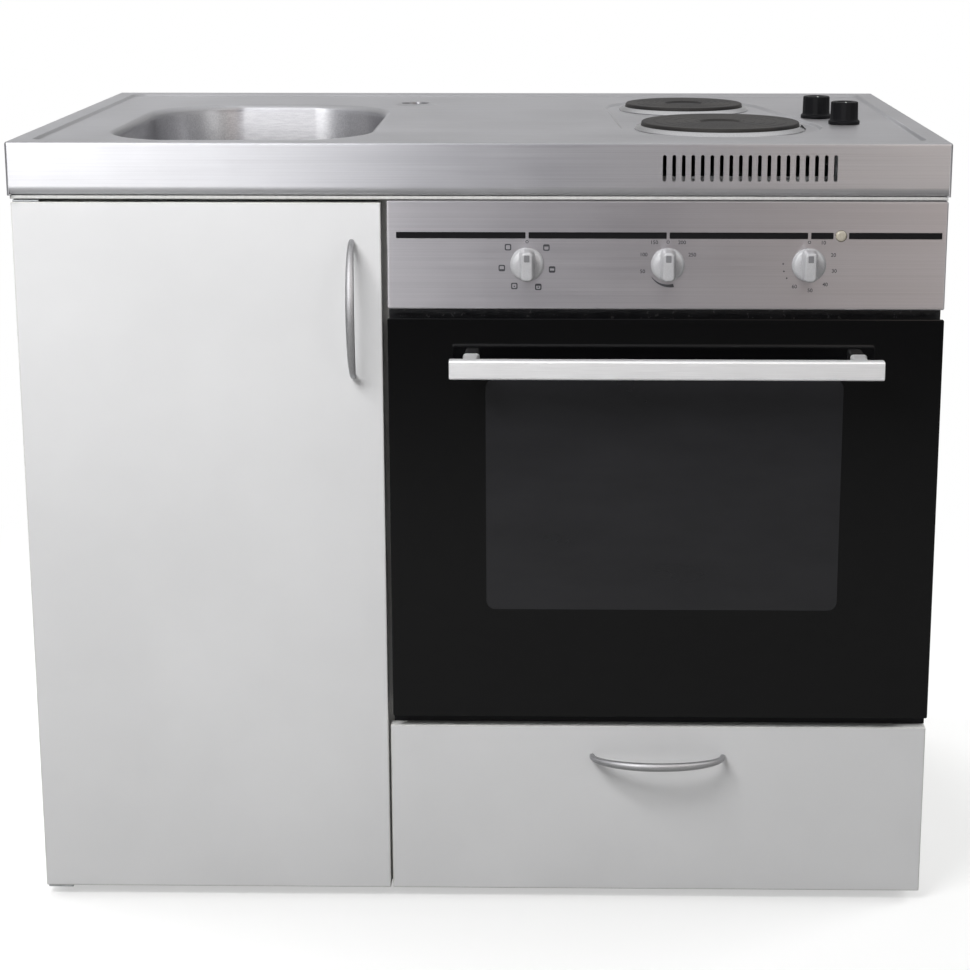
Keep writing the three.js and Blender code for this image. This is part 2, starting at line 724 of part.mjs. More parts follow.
function hobTray() {
  const [left, right] = [partitionRight + trayLeftGap, nicheRight - trayRightGap];
  const [front, rear] = [trayFrontSetback, carcassRear - board - trayRearGap];
  const [bottom, top] = [underDeck - trayDepth, underDeck];
  const middle = unitRight - ventCentreInset;
  const halfRow = (ventCount * ventPitch) / 2;
  const tray = cut(
    block([left, right], [front, rear], [bottom, top]),
    block([left + sheet, right - sheet], [front + sheet, rear - sheet], [bottom + sheet, top + past]),
    block([middle - halfRow, middle + halfRow], [front - past, front + sheet + past],
      [worktopHeight - ventDrop - ventHeight / 2, worktopHeight - ventDrop + ventHeight / 2]));
  add('hob_undertray', tray, looks.zincSheet);
}

// ---- Carcass ----

function carcass() {
  const run = [carcassFront, carcassRear];
  const sideTop = worktopHeight - sheet - seatGap;
  add('left_side_panel', block([carcassLeft, carcassLeft + board], run, [floorGap, sideTop]), looks.laminate);
  add('right_side_panel', block([nicheRight, carcassRight], run, [floorGap, sideTop]), looks.laminate);
  const railFront = carcassRear - board;
  const railBase = underDeck - railHeight;
  const partition = cut(
    block([partitionLeft, partitionRight], run, [floorGap, underDeck]),
    block([partitionLeft - past, partitionRight + past], [railFront - seatGap, carcassRear + past],
      [railBase - seatGap, underDeck + past]),
    block([partitionLeft - past, partitionRight + past], [tapY - tapNotchWidth / 2, tapY + tapNotchWidth / 2],
      [underDeck - tapNotchDepth, underDeck + past]));
  add('centre_partition', partition, looks.rawBoard);
  const sinkSpan = [fitLeft, partitionLeft - seatGap];
  const ovenSpan = [partitionRight + seatGap, nicheRight - seatGap];
  add('sink_base_panel', block(sinkSpan, run, [floorGap, floorGap + board]), looks.rawBoard);
  add('drawer_base_panel', block(ovenSpan, run, [floorGap, floorGap + board]), looks.rawBoard);
  add('oven_shelf', block(ovenSpan, run, [shelfTop - board, shelfTop]), looks.rawBoard);
  const frontRailRun = [carcassFront, carcassFront + railBoard];
  const frontRailHeight = [railBottom, railBottom + railHeight];
  add('front_rail', block(sinkSpan, frontRailRun, frontRailHeight), looks.rawBoard);
  const rearRail = block([fitLeft, ovenSpan[1]], [railFront, carcassRear], [railBase, underDeck]);
  add('rear_rail', rearRail, looks.rawBoard);
  const back = cut(
    block(sinkSpan, [carcassRear - backBoard, carcassRear], [floorGap + board + seatGap, railBase - seatGap]),
    block([bowlX - pipeOpeningWidth / 2, bowlX + pipeOpeningWidth / 2],
      [carcassRear - backBoard - past, carcassRear + past],
      [pipeOpeningBottom, pipeOpeningBottom + pipeOpeningHeight]));
  add('back_panel', back, looks.rawBoard);
  const glide = turned([
    [0, 0], [glideRadius - glideBevel, 0], [glideRadius, glideBevel], [glideRadius, floorGap / 2],
    [glideTopRadius, floorGap - seatGap], [0, floorGap - seatGap],
  ], 'up', 24);
  const glideX = { left: carcassLeft + board / 2, right: carcassRight - board / 2 };
  const glideY = { front: carcassFront + glideInset, rear: carcassRear - glideInset };
  for (const end of ['front', 'rear']) {
    for (const side of ['left', 'right']) {
      add(`glide_${end}_${side}`, glide, looks.blackPlastic, [glideX[side], glideY[end], 0]);
    }
  }
}

// ---- Handles, doors and drawer ----

// A bow standing off a board's face at y = 0, along X, both ends flat against the board.
function bowHandle() {
  const [steps, sides] = [18, 12];
  const rings = [];
  for (let k = 0; k <= steps; k++) {
    const t = (Math.PI * k) / steps;
    const middle = new THREE.Vector3((-bowLength / 2) * Math.cos(t), -bowReach * Math.sin(t), 0);
    const along = new THREE.Vector3((bowLength / 2) * Math.sin(t), -bowReach * Math.cos(t), 0).normalize();
    const across = new THREE.Vector3(-along.y, along.x, 0);
    const width = bowEndWidth + (bowWidth - bowEndWidth) * Math.sin(t);
    const ring = [];
    for (let i = 0; i < sides; i++) {
      const a = (2 * Math.PI * i) / sides;
      const point = middle.clone().addScaledVector(across, (bowThickness / 2) * Math.cos(a));
      ring.push(point.setZ((width / 2) * Math.sin(a)));
    }
    rings.push(ring);
  }
  return loft(rings);
}

const doorHingeX = carcassLeft + frontBoard / 2;
const doorHingeY = frontRecess + frontBoard / 2;

function cabinetDoor() {
  const pinReach = hingePinLength + past;
  const pinHole = (z) => rod('z', hingePinRadius + seatGap, z - pinReach, z + pinReach)
    .translate([doorHingeX, doorHingeY, 0]);
  const door = cut(
    block([carcassLeft, doorRight], [frontRecess, frontRear], [floorGap, doorTop]),
    pinHole(floorGap), pinHole(doorTop));
  add('cabinet_door', door, looks.laminate);
  const handle = bowHandle().rotate([0, 90, 0]);
  add('cabinet_door_handle', handle, looks.satinHandle,
    [doorRight - doorHandleInset, frontRecess - seatGap, doorTop - doorHandleDrop - bowLength / 2]);
}

function doorHinges() {
  const left = doorHingeX - hingePlateSideReach;
  const right = left + hingePlateWidth;
  const inside = fitLeft;
  const front = doorHingeY - hingePlateFrontReach;
  const rear = doorHingeY + hingePlateRearReach;
  const [top, bottom] = [doorTop + seatGap, floorGap - seatGap];
  const upper = joined(
    block([left, right], [front, carcassFront - seatGap], [top, top + hingePlate]),
    block([inside, right], [front, rear], [top, top + hingePlate]),
    block([inside, inside + hingePlate], [carcassFront + hingePlate, rear],
      [top + hingePlate - hingeFlangeHeight, top + hingePlate]),
    rod('z', hingePinRadius, top - hingePinLength, top + hingePlate / 2)
      .translate([doorHingeX, doorHingeY, 0]));
  add('door_hinge_upper', upper, looks.zincSheet);
  const lower = joined(
    block([left, right], [front, rear], [bottom - hingePlate, bottom]),
    rod('z', hingePinRadius, bottom - hingePlate / 2, bottom + hingePinLength)
      .translate([doorHingeX, doorHingeY, 0]));
  add('door_hinge_lower', lower, looks.zincSheet);
}

function drawer() {
  const box = {
    left: partitionRight + runnerRoom, right: nicheRight - runnerRoom,
    front: frontRear + seatGap, rear: frontRear + seatGap + drawerLength,
    bottom: floorGap + drawerFloorRise, top: floorGap + drawerFloorRise + drawerSideHeight,
  };
  const front = block([drawerLeft, carcassRight], [frontRecess, frontRear], [floorGap, drawerTop]);
  add('drawer_front', front, looks.laminate);
  add('drawer_handle', bowHandle(), looks.satinHandle,
    [(drawerLeft + carcassRight) / 2, frontRecess - seatGap, drawerTop - drawerHandleDrop]);
  const [run, height] = [[box.front, box.rear], [box.bottom, box.top]];
  add('drawer_side_left', block([box.left, box.left + drawerSideBoard], run, height), looks.rawBoard);
  add('drawer_side_right', block([box.right - drawerSideBoard, box.right], run, height), looks.rawBoard);
  const across = [box.left + drawerSideBoard + seatGap, box.right - drawerSideBoard - seatGap];
  const floor = box.bottom + drawerBottomRise;
  add('drawer_bottom', block(across, run, [floor, floor + drawerBottomBoard]), looks.rawBoard);
  add('drawer_back', block(across, [box.rear - drawerSideBoard, box.rear],
    [floor + drawerBottomBoard + seatGap, box.top]), looks.rawBoard);
  for (const side of ['left', 'right']) runnerPair(side, box);
}

// A channel on the cabinet wall with a smaller channel on the drawer's side lying in it.
function runnerPair(side, box) {
  const isLeft = side === 'left';
  const wall = isLeft ? partitionRight + seatGap : nicheRight - seatGap;
  const boxSide = isLeft ? box.left - seatGap : box.right + seatGap;
  const toBox = isLeft ? 1 : -1;
  const [bottom, top] = [box.bottom + runnerRise, box.bottom + runnerRise + runnerHeight];
  const run = [carcassFront + runnerSetback, carcassFront + runnerSetback + runnerLength];
  const span = (from, to) => [Math.min(from, to), Math.max(from, to)];
  const outer = cut(
    block(span(wall, wall + toBox * runnerReach), run, [bottom, top]),
    block(span(wall + toBox * runnerSheet, wall + toBox * (runnerReach + past)),
      [run[0] - past, run[1] + past], [bottom + runnerSheet, top - runnerSheet]));
  add(`cabinet_runner_${side}`, outer, looks.zincSheet);
  const lift = runnerSheet + seatGap;
  const tip = wall + toBox * (runnerSheet + runningGap);
  const inner = joined(
    block(span(boxSide, boxSide - toBox * runnerSheet), run, [bottom - lift, top + lift]),
    ...[bottom + lift, top - lift - runnerSheet].map((z) =>
      block(span(boxSide - toBox * runnerSheet / 2, tip), run, [z, z + runnerSheet])));
  add(`drawer_runner_${side}`, inner, looks.zincSheet);
}

// ---- Oven ----

function ovenBody() {
  const casing = {
    left: ovenCentre - casingWidth / 2, right: ovenCentre + casingWidth / 2,
    front: carcassFront, rear: carcassRear - casingRearGap,
    bottom: shelfTop + seatGap, top: panelTop - casingTopDrop,
  };
  const shell = cut(
    block([casing.left, casing.right], [casing.front, casing.rear], [casing.bottom, casing.top]),
    block([casing.left + sheet, casing.right - sheet], [casing.front - past, casing.rear - sheet],
      [casing.bottom + sheet, casing.top - sheet]));
  add('oven_casing', shell, looks.zincSheet);

  const ledges = [];
  for (let level = 0; level < railLevels; level++) {
    const z = cavityFloor + firstRailRise + level * railPitch;
    const run = [framePlateFront + railFrontSetback, cavityRear];
    ledges.push(block([cavityLeft - sheet / 2, cavityLeft + railReach], run, [z - railThickness, z]));
    ledges.push(block([cavityRight - railReach, cavityRight + sheet / 2], run, [z - railThickness, z]));
  }
  const muffle = cut(
    joined(
      block([ovenLeft, carcassRight], [framePlateFront, framePlateRear],
        [shelfTop + framePlateRise, panelTop]),
      block([cavityLeft - sheet, cavityRight + sheet], [framePlateFront, cavityRear + sheet],
        [cavityFloor - sheet, cavityTop + sheet])),
    block([cavityLeft, cavityRight], [framePlateFront - past, cavityRear], [cavityFloor, cavityTop]),
    block([cavityLeft, cavityRight], [framePlateFront - past, framePlateRear + past],
      [panelBottom + panelOpeningMargin, panelTop - panelOpeningMargin]));
  add('oven_cavity', joined(muffle, ...ledges), looks.enamel);

  const grow = (margin) => roundedRect(
    cavityLeft - margin, cavityRight + margin, cavityFloor - margin, cavityTop + margin,
    margin + gasketCorner);
  const outer = grow(gasketMargin + gasketWidth);
  outer.holes.push(grow(gasketMargin));
  const gasket = prism(outer, 'y', ovenDoorRear + seatGap, framePlateFront - seatGap, 6);
  add('oven_door_gasket', gasket, looks.sealGrey);
}

function grillElement() {
  const z = cavityTop - grillDrop;
  const wall = cavityRear - seatGap;
  const [near, far] = [framePlateFront + grillMargin, cavityRear - grillMargin];
  const [nearTurn, farTurn] = [near + grillTurn, far - grillTurn];
  const reach = cavityWidth / 2;
  // Half of the loop, from the middle outward, as [share of the half width, y].
  const half = [
    [0.14, wall], [0.14, far + grillTurn / 2], [0.2, far], [0.2, nearTurn], [0.32, near],
    [0.44, nearTurn], [0.44, farTurn], [0.56, far], [0.68, farTurn], [0.68, nearTurn],
    [0.78, near], [0.86, nearTurn], [0.86, far],
  ];
  const right = half.map(([share, y]) => new THREE.Vector3(ovenCentre + share * reach, y, z));
  const left = half.map(([share, y]) => new THREE.Vector3(ovenCentre - share * reach, y, z));
  const bridgeY = far + grillBridge;
  const bridge = [0.7, -0.7].map((share) => new THREE.Vector3(ovenCentre + share * reach, bridgeY, z));
  const path = new THREE.CatmullRomCurve3([...right, ...bridge, ...left.reverse()], false, 'centripetal');
  const section = new THREE.Shape().absarc(0, 0, grillRadius, 0, 2 * Math.PI, false);
  const geometry = new THREE.ExtrudeGeometry(section, { steps: 104, extrudePath: path, curveSegments: 3 });
  add('oven_grill_element', solidOf(geometry), looks.ironBlack);
}

function wireShelf() {
  const z = cavityFloor + firstRailRise + (rackLevel - 1) * railPitch + seatGap + rackFrameRadius;
  const sideGap = runningGap + rackFrameRadius;
  const [left, right] = [cavityLeft + sideGap, cavityRight - sideGap];
  const [front, rear] = [framePlateFront + rackFrontSetback, cavityRear - rackRearGap];
  const overlap = rackFrameRadius / 2;
  const sideRods = [left, right].map((x) =>
    rod('y', rackSideRadius, front - overlap, rear + overlap, 8).translate([x, 0, z]));
  const endRods = [front, rear].map((y) =>
    rod('x', rackFrameRadius, left - overlap, right + overlap, 8).translate([0, y, z]));
  const wires = [];
  for (let i = 1; i <= rackWireCount; i++) {
    const x = left + ((right - left) * i) / (rackWireCount + 1);
    wires.push(rod('y', rackWireRadius, front, rear, 6).translate([x, 0, z]));
  }
  add('oven_wire_shelf', joined(...sideRods, ...endRods, ...wires), looks.zincSheet);
}

const hingePivot = { y: ovenDoorFace + pivotSetback, z: glassBottom + pivotRise };
const hingeXs = { left: ovenLeft + hingeInset, right: carcassRight - hingeInset };

function ovenDoor() {
  const glass = roundedRect(ovenLeft, carcassRight, glassBottom, glassTop, ovenGlassCorner);
  const glassRear = ovenDoorFace + ovenGlass;
  add('oven_door_glass', prism(glass, 'y', ovenDoorFace, glassRear, 3), looks.glassBlack);

  const pan = {
    left: ovenLeft + panFrontInset, right: carcassRight - panFrontInset,
    bottom: glassBottom + panBottomRise, top: glassTop - panTopDrop,
    front: glassRear + seatGap, rear: ovenDoorRear,
  };
  const window = {
    left: ovenLeft + windowSideInset, right: carcassRight - windowSideInset,
    bottom: glassBottom + windowRise, top: glassBottom + windowRise + windowHeight,
  };
  const opened = cut(
    block([pan.left, pan.right], [pan.front, pan.rear], [pan.bottom, pan.top]),
    block([pan.left + sheet, pan.right - sheet], [pan.front - past, pan.rear - sheet],
      [pan.bottom + sheet, pan.top - sheet]),
    prism(roundedRect(window.left, window.right, window.bottom, window.top, windowCorner),
      'y', pan.front, pan.rear + past, 4));
  const cheeks = [];
  const clearances = [];
  for (const x of Object.values(hingeXs)) {
    const slot = hingeArm / 2 + hingeSideGap;
    clearances.push(block([x - slot, x + slot],
      [hingePivot.y - hingeEyeRadius - runningGap, pan.rear + past],
      [pan.bottom - past, hingePivot.z + hingeEyeRadius + runningGap]));
    const pinReach = slot + hingeCheek + past;
    clearances.push(rod('x', pivotPinRadius + seatGap, x - pinReach, x + pinReach)
      .translate([0, hingePivot.y, hingePivot.z]));
    for (const from of [x - slot - hingeCheek, x + slot]) {
      cheeks.push(block([from, from + hingeCheek], [pan.front, pan.rear - sheet / 2],
        [pan.bottom + sheet / 2, hingePivot.z + hingeArmHeight]));
    }
  }
  add('oven_door_frame', cut(joined(opened, ...cheeks), ...clearances), looks.enamel);

  const innerRear = pan.rear - sheet - seatGap;
  const inner = roundedRect(
    window.left - innerGlassLap, window.right + innerGlassLap,
    window.bottom - innerGlassLap, window.top + innerGlassLap, innerGlassCorner);
  add('oven_door_inner_glass', prism(inner, 'y', innerRear - ovenGlass, innerRear, 3), looks.glassBlack);

  const barFront = ovenDoorFace - ovenHandleReach;
  const barMiddle = glassTop - ovenHandleDrop;
  const [barLeft, barRight] = [ovenCentre - ovenHandleLength / 2, ovenCentre + ovenHandleLength / 2];
  const bar = roundedRect(barFront, barFront + ovenHandleThickness,
    barMiddle - ovenHandleHeight / 2, barMiddle + ovenHandleHeight / 2, ovenHandleEdge);
  const posts = [barLeft + ovenPostInset, barRight - ovenPostInset].map((x) =>
    block([x - ovenPostWidth / 2, x + ovenPostWidth / 2],
      [barFront + ovenHandleThickness / 2, ovenDoorFace - seatGap],
      [barMiddle - ovenPostWidth / 2, barMiddle + ovenPostWidth / 2]));
  add('oven_door_handle', joined(prism(bar, 'x', barLeft, barRight, 3), ...posts), looks.silverPaint);
}

function ovenHinges() {
  const foot = { front: framePlateFront - seatGap - sheet, rear: framePlateFront - seatGap };
  const [low, high] = [-hingeArmHeight / 2, hingeArmHeight / 2];
  const reach = hingeArm / 2 + hingeSideGap + hingeCheek;
  const hinge = joined(
    block([-hingeFootWidth / 2, hingeFootWidth / 2], [foot.front - hingePivot.y, foot.rear - hingePivot.y],
      [low, low + hingeFootHeight]),
    block([-hingeArm / 2, hingeArm / 2], [0, foot.rear - hingePivot.y], [low, high]),
    rod('x', hingeEyeRadius, -hingeArm / 2, hingeArm / 2),
    rod('x', pivotPinRadius, -reach, reach));
  for (const side of ['left', 'right']) {
    add(`oven_hinge_${side}`, hinge, looks.zincSheet, [hingeXs[side], hingePivot.y, hingePivot.z]);
  }
}

function lowerTrim() {
  const bottom = drawerTop + runningGap;
  add('oven_lower_trim', block([ovenLeft, carcassRight], [framePlateRear - trimDepth, framePlateRear],
    [bottom, bottom + trimHeight]), looks.blackPlastic);
}

// ---- Control panel ----

const slitZ = panelTop - slitDrop;
const knobZ = panelTop - ovenKnobDrop;
const knobXs = {
  left: ovenCentre + ovenKnobShift - ovenKnobPitch,
  centre: ovenCentre + ovenKnobShift,
  right: ovenCentre + ovenKnobShift + ovenKnobPitch,
};
const lampX = carcassRight - lampInset;

function controlPanel() {
  const rear = framePlateFront - seatGap;
  const lampHole = rod('y', lampRadius + seatGap, 0, rear).translate([lampX, 0, slitZ]);
  const slit = [ovenLeft + slitLeftInset, carcassRight - slitRightInset];
  const stemHoles = Object.values(knobXs).map((x) =>
    rod('y', stemHoleRadius, 0, panelFace + 2 * sheet).translate([x, 0, knobZ]));
  const panel = cut(
    block([ovenLeft, carcassRight], [panelFace, rear], [panelBottom, panelTop]),
    block([ovenLeft + sheet, carcassRight - sheet], [panelFace + sheet, rear + past],
      [panelBottom + sheet, panelTop - sheet]),
    block(slit, [0, panelFace + 2 * sheet], [slitZ - slitHeight / 2, slitZ + slitHeight / 2]),
    lampHole, ...stemHoles);
  add('control_panel', panel, looks.stainless);

  const behind = panelFace + sheet + seatGap;
  const strip = joined(
    block([slit[0] + seatGap, slit[1] - seatGap], [panelFace + sheet / 2, behind + sheet / 2],
      [slitZ - slitHeight / 2 + seatGap, slitZ + slitHeight / 2 - seatGap]),
    block([slit[0] - slitStripLap / 2, slit[1] + slitStripLap / 2], [behind, behind + sheet],
      [slitZ - slitHeight / 2 - slitStripLap, slitZ + slitHeight / 2 + slitStripLap]));
  add('panel_slit_strip', cut(strip, lampHole), looks.blackPlastic);

  add('pilot_lamp', turned([
    [0, 0], [lampRadius, 0], [lampRadius, lampLength - lampDome],
    [lampRadius * 0.75, lampLength - lampDome / 4], [0, lampLength],
  ], 'front', 20), looks.lampAmber, [lampX, panelFace - lampProud + lampLength, slitZ]);
}

function ovenKnobs() {
  const back = panelFace - seatGap;
  const stemEnd = panelFace + switchBarSetback + switchBarThickness + stemHoleRadius;
  const [halfGrip, gripReach] = [ovenKnobGrip / 2, ovenKnobRadius - ovenKnobGripInset];
  const grip = roundedRect(-halfGrip, halfGrip, -gripReach, gripReach, ovenKnobGripEdge);
  const knob = cut(
    joined(
      turned([
        [0, 0], [ovenKnobRadius, 0], [ovenKnobRadius, ovenKnobSkirt - ovenKnobSkirtBevel],
        [ovenKnobRadius - ovenKnobSkirtBevel, ovenKnobSkirt], [0, ovenKnobSkirt],
      ], 'front'),
      prism(grip, 'y', -ovenKnobReach, -ovenKnobSkirt / 2, 4),
      rod('y', stemRadius, -past, stemEnd - back)),
    block([-pointerWidth / 2, pointerWidth / 2], [-ovenKnobReach - past, -ovenKnobReach + pointerDepth],
      [ovenKnobRadius / 3, ovenKnobRadius]));
  for (const [place, x] of Object.entries(knobXs)) {
    add(`oven_knob_${place}`, knob, looks.silverPaint, [x, back, knobZ]);
  }
}

function switchCarrier() {
  const front = panelFace + switchBarSetback;
  const bar = [cavityLeft - switchBarOverhang, cavityRight + switchBarOverhang];
  const [half, halfBar] = [ovenSwitchSize / 2, switchBarHeight / 2];
  const bodies = Object.values(knobXs).map((x) =>
    block([x - half, x + half], [front, front + ovenSwitchDepth], [knobZ - half, knobZ + half]));
  const feet = [bar[0], bar[1] - switchBarFoot].map((x) =>
    block([x, x + switchBarFoot], [front, framePlateFront - seatGap], [knobZ - halfBar, knobZ + halfBar]));
  const bores = Object.values(knobXs).map((x) =>
    rod('y', stemRadius + seatGap, front - past, front + ovenSwitchDepth / 2).translate([x, 0, knobZ]));
  const carrier = cut(
    joined(
      block(bar, [front, front + switchBarThickness], [knobZ - halfBar, knobZ + halfBar]),
      ...bodies, ...feet),
    ...bores);
  add('oven_switch_carrier', carrier, looks.zincSheet);
}

worktop();
sinkBowl();
sinkWaste();
strainerBasket();
wasteTrap();
hotplate('front', frontPlate);
hotplate('rear', rearPlate);
hobControl('front');
hobControl('rear');
hobTray();
carcass();
cabinetDoor();
doorHinges();
drawer();
ovenBody();
grillElement();
wireShelf();
ovenDoor();
ovenHinges();
lowerTrim();
controlPanel();
ovenKnobs();
switchCarrier();

const frontmost = ovenDoorFace - ovenHandleReach;
unit.position.y = -(frontmost + worktopDepth) / 2;

export default unit;
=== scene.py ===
import json
import math

import bmesh
import bpy
from mathutils import Matrix, Vector
from mathutils.geometry import tessellate_polygon

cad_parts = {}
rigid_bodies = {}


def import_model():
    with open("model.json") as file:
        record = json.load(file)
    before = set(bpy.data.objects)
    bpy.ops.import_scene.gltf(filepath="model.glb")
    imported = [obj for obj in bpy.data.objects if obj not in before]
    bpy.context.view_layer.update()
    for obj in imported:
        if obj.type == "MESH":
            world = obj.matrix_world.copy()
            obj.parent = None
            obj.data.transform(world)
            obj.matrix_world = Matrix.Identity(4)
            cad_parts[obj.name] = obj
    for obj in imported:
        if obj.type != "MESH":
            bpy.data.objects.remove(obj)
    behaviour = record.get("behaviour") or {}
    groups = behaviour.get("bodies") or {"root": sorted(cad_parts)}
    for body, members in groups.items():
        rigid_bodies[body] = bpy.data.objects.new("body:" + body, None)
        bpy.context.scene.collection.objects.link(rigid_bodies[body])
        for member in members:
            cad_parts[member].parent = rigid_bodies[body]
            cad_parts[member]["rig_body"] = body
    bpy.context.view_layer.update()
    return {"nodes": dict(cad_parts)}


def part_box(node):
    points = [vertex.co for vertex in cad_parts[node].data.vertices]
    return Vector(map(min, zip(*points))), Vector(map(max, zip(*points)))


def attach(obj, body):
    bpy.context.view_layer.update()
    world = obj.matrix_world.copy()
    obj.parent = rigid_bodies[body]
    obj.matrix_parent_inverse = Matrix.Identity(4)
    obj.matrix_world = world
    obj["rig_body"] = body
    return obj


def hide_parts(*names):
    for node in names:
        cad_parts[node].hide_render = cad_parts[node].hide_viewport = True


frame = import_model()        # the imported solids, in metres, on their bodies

# A one-metre kitchenette unit: pressed steel top with sink and two hotplates, cupboard, built-in oven, drawer.
# Points are in millimetres, with y = 0 on the face of the top's front apron, and at() puts them in the frame.

mm = 0.001
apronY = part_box("worktop")[0].y
nodes = frame["nodes"]


def at(x, y, z):
    return Vector((x * mm, apronY + y * mm, z * mm))


def boxOf(node):     # a solid's corners, back in the millimetres used here
    low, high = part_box(node)
    return (low.x / mm, high.x / mm), ((low.y - apronY) / mm, (high.y - apronY) / mm), (low.z / mm, high.z / mm)


def addObject(name, data):
    thing = bpy.data.objects.new(name, data)
    bpy.context.scene.collection.objects.link(thing)
    return thing


def report(stage):
    print("kitchenette:", stage)


# Meshes

class Shape:         # gathers rings of points and the faces between them
    def __init__(self):
        self.points = []
        self.faces = []
        self.kinds = []      # material slot of each face

    def ring(self, points):
        start = len(self.points)
        self.points += [Vector(point) for point in points]
        return list(range(start, len(self.points)))

    def face(self, corners, kind=0):
        self.faces.append(list(corners))
        self.kinds.append(kind)

    def bridge(self, first, second, closed=True, kind=0):
        count = len(first)
        for i in range(count if closed else count - 1):
            j = (i + 1) % count
            self.face((first[i], first[j], second[j], second[i]), kind)

    def fill(self, outer, holes=(), kind=0):     # a flat face with holes in it
        loops = [outer, *holes]
        order = [index for loop in loops for index in loop]
        for triangle in tessellate_polygon([[self.points[i] for i in loop] for loop in loops]):
            self.face([order[i] for i in triangle], kind)

    def skin(self, rings, kind=0):
        made = [self.ring(ring) for ring in rings]
        for first, second in zip(made, made[1:]):
            self.bridge(first, second, kind=kind)
        return made

    def solid(self, rings, kind=0):     # a skin with both its ends closed
        made = self.skin(rings, kind=kind)
        self.fill(made[0])
        self.fill(made[-1])


def addPiece(name, shape, materials, slotName=None, body="cabinet", stands=None, inward=False, **finish):
    mesh = bpy.data.meshes.new(name)
    mesh.from_pydata([at(*point) for point in shape.points], [], shape.faces)
    mesh.polygons.foreach_set("material_index", shape.kinds)
    bm = bmesh.new()
    bm.from_mesh(mesh)
    bmesh.ops.remove_doubles(bm, verts=bm.verts, dist=0.002 * mm)
    bmesh.ops.dissolve_degenerate(bm, edges=bm.edges, dist=0.001 * mm)
    bmesh.ops.recalc_face_normals(bm, faces=bm.faces)
    if inward:       # a bowl's good side is its inside
        bmesh.ops.reverse_faces(bm, faces=bm.faces)
    bm.to_mesh(mesh)
    bm.free()
    finishPiece(name, mesh, materials, slotName, body, stands, **finish)


def finishPiece(name, mesh, materials, slotName=None, body="cabinet", stands=None, thickness=0, sharpAngle=32,
                bevel=0, bevelAngle=40):
    piece = addObject(name, mesh)
    for material in materials if isinstance(materials, list) else [materials]:
        mesh.materials.append(material)
    if thickness:
        sheet = piece.modifiers.new("sheet", "SOLIDIFY")
        sheet.thickness = thickness * mm
        sheet.offset = -1
    if bevel:
        ease = piece.modifiers.new("ease", "BEVEL")
        ease.width = bevel * mm
        ease.segments = 3
        ease.limit_method = "ANGLE"
        ease.angle_limit = math.radians(bevelAngle)
    mesh.shade_smooth()
    if not bevel:
        mesh.set_sharp_from_angle(angle=math.radians(sharpAngle))
    if thickness:    # a sheet's cut edges stay crisp
        uses = [0] * len(mesh.edges)
        for loop in mesh.loops:
            uses[loop.edge_index] += 1
        for edge, count in zip(mesh.edges, uses):
            edge.use_edge_sharp = edge.use_edge_sharp or count == 1
    flats = piece.modifiers.new("flats", "WEIGHTED_NORMAL")     # keeps flat faces flat beside their rounds
    flats.keep_sharp = True
    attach(piece, body)
    if stands:
        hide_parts(stands)


def bodyOf(node):
    return nodes[node]["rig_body"]


def easedCopy(node, materials, slotName, width=0.6, angle=40):     # the solid with its hard edges rounded
    bm = bmesh.new()
    bm.from_mesh(nodes[node].data)
    bmesh.ops.remove_doubles(bm, verts=bm.verts, dist=0.01 * mm)
    bmesh.ops.dissolve_limit(bm, angle_limit=math.radians(0.5), verts=bm.verts, edges=bm.edges)
    for face in bm.faces:
        face.material_index = 0
    bmesh.ops.recalc_face_normals(bm, faces=bm.faces)
    mesh = bpy.data.meshes.new(node + "_eased")
    bm.to_mesh(mesh)
    bm.free()
    if "custom_normal" in mesh.attributes:
        mesh.attributes.remove(mesh.attributes["custom_normal"])
    finishPiece(node + "_finish", mesh, materials, slotName, bodyOf(node), node, bevel=width, bevelAngle=angle)


def boardPiece(node, face, rim, slotName, ease=0.5, rimWidth=0.8):     # a board, two faces inside a banded rim
    box = boxOf(node)
    thin = min(range(3), key=lambda axis: box[axis][1] - box[axis][0])
    u, v = [axis for axis in range(3) if axis != thin]
    near, far = box[thin]
    corner = 1.2

    def ring(inset, depth):
        points = []
        for a, b in rectRing(box[u][0] + inset, box[u][1] - inset, box[v][0] + inset, box[v][1] - inset,
                             max(corner - inset, 0.3), 3):
            point = [0, 0, 0]
            point[u], point[v], point[thin] = a, b, depth
            points.append(point)
        return points

    turns = roundedEdge(ease, 30)
    shape = Shape()
    shape.solid([ring(rimWidth, near), *(ring(inset, near + drop) for inset, drop in reversed(turns)),
                 *(ring(inset, far - drop) for inset, drop in turns), ring(rimWidth, far)], kind=1)
    addPiece(node + "_finish", shape, [face, rim], slotName, bodyOf(node), node, sharpAngle=50)


def roundedEdge(radius, step):     # how far in and how far down a quarter round lies, from its side to its top
    return [(radius * (1 - math.cos(math.radians(angle))), radius * (1 - math.sin(math.radians(angle))))
            for angle in range(0, 91, step)]


def polar(centre, reach, angle):     # the flat point at a distance and an angle in degrees
    return centre[0] + reach * math.cos(math.radians(angle)), centre[1] + reach * math.sin(math.radians(angle))


def arc(centre, radius, start, end, steps):
    return [polar(centre, radius, start + (end - start) * i / steps) for i in range(steps + 1)]


def roundPath(corners, closed=False, steps=5):     # corners as (x, y, radius)
    path = []
    for i, (x, y, radius) in enumerate(corners):
        if radius <= 0 or (not closed and i in (0, len(corners) - 1)):
            path.append((x, y))
            continue
        here = Vector((x, y))
        before, after = ((Vector(corners[j][:2]) - here).normalized() for j in (i - 1, (i + 1) % len(corners)))
        half = before.angle(after) / 2
        centre = here + (before + after).normalized() * (radius / math.sin(half))
        first, last = (here + side * (radius / math.tan(half)) - centre for side in (before, after))
        begin = math.degrees(math.atan2(first.y, first.x))
        turn = math.degrees(math.atan2(first.x * last.y - first.y * last.x, first.dot(last)))
        path += arc(centre, radius, begin, begin + turn, steps)
    return path


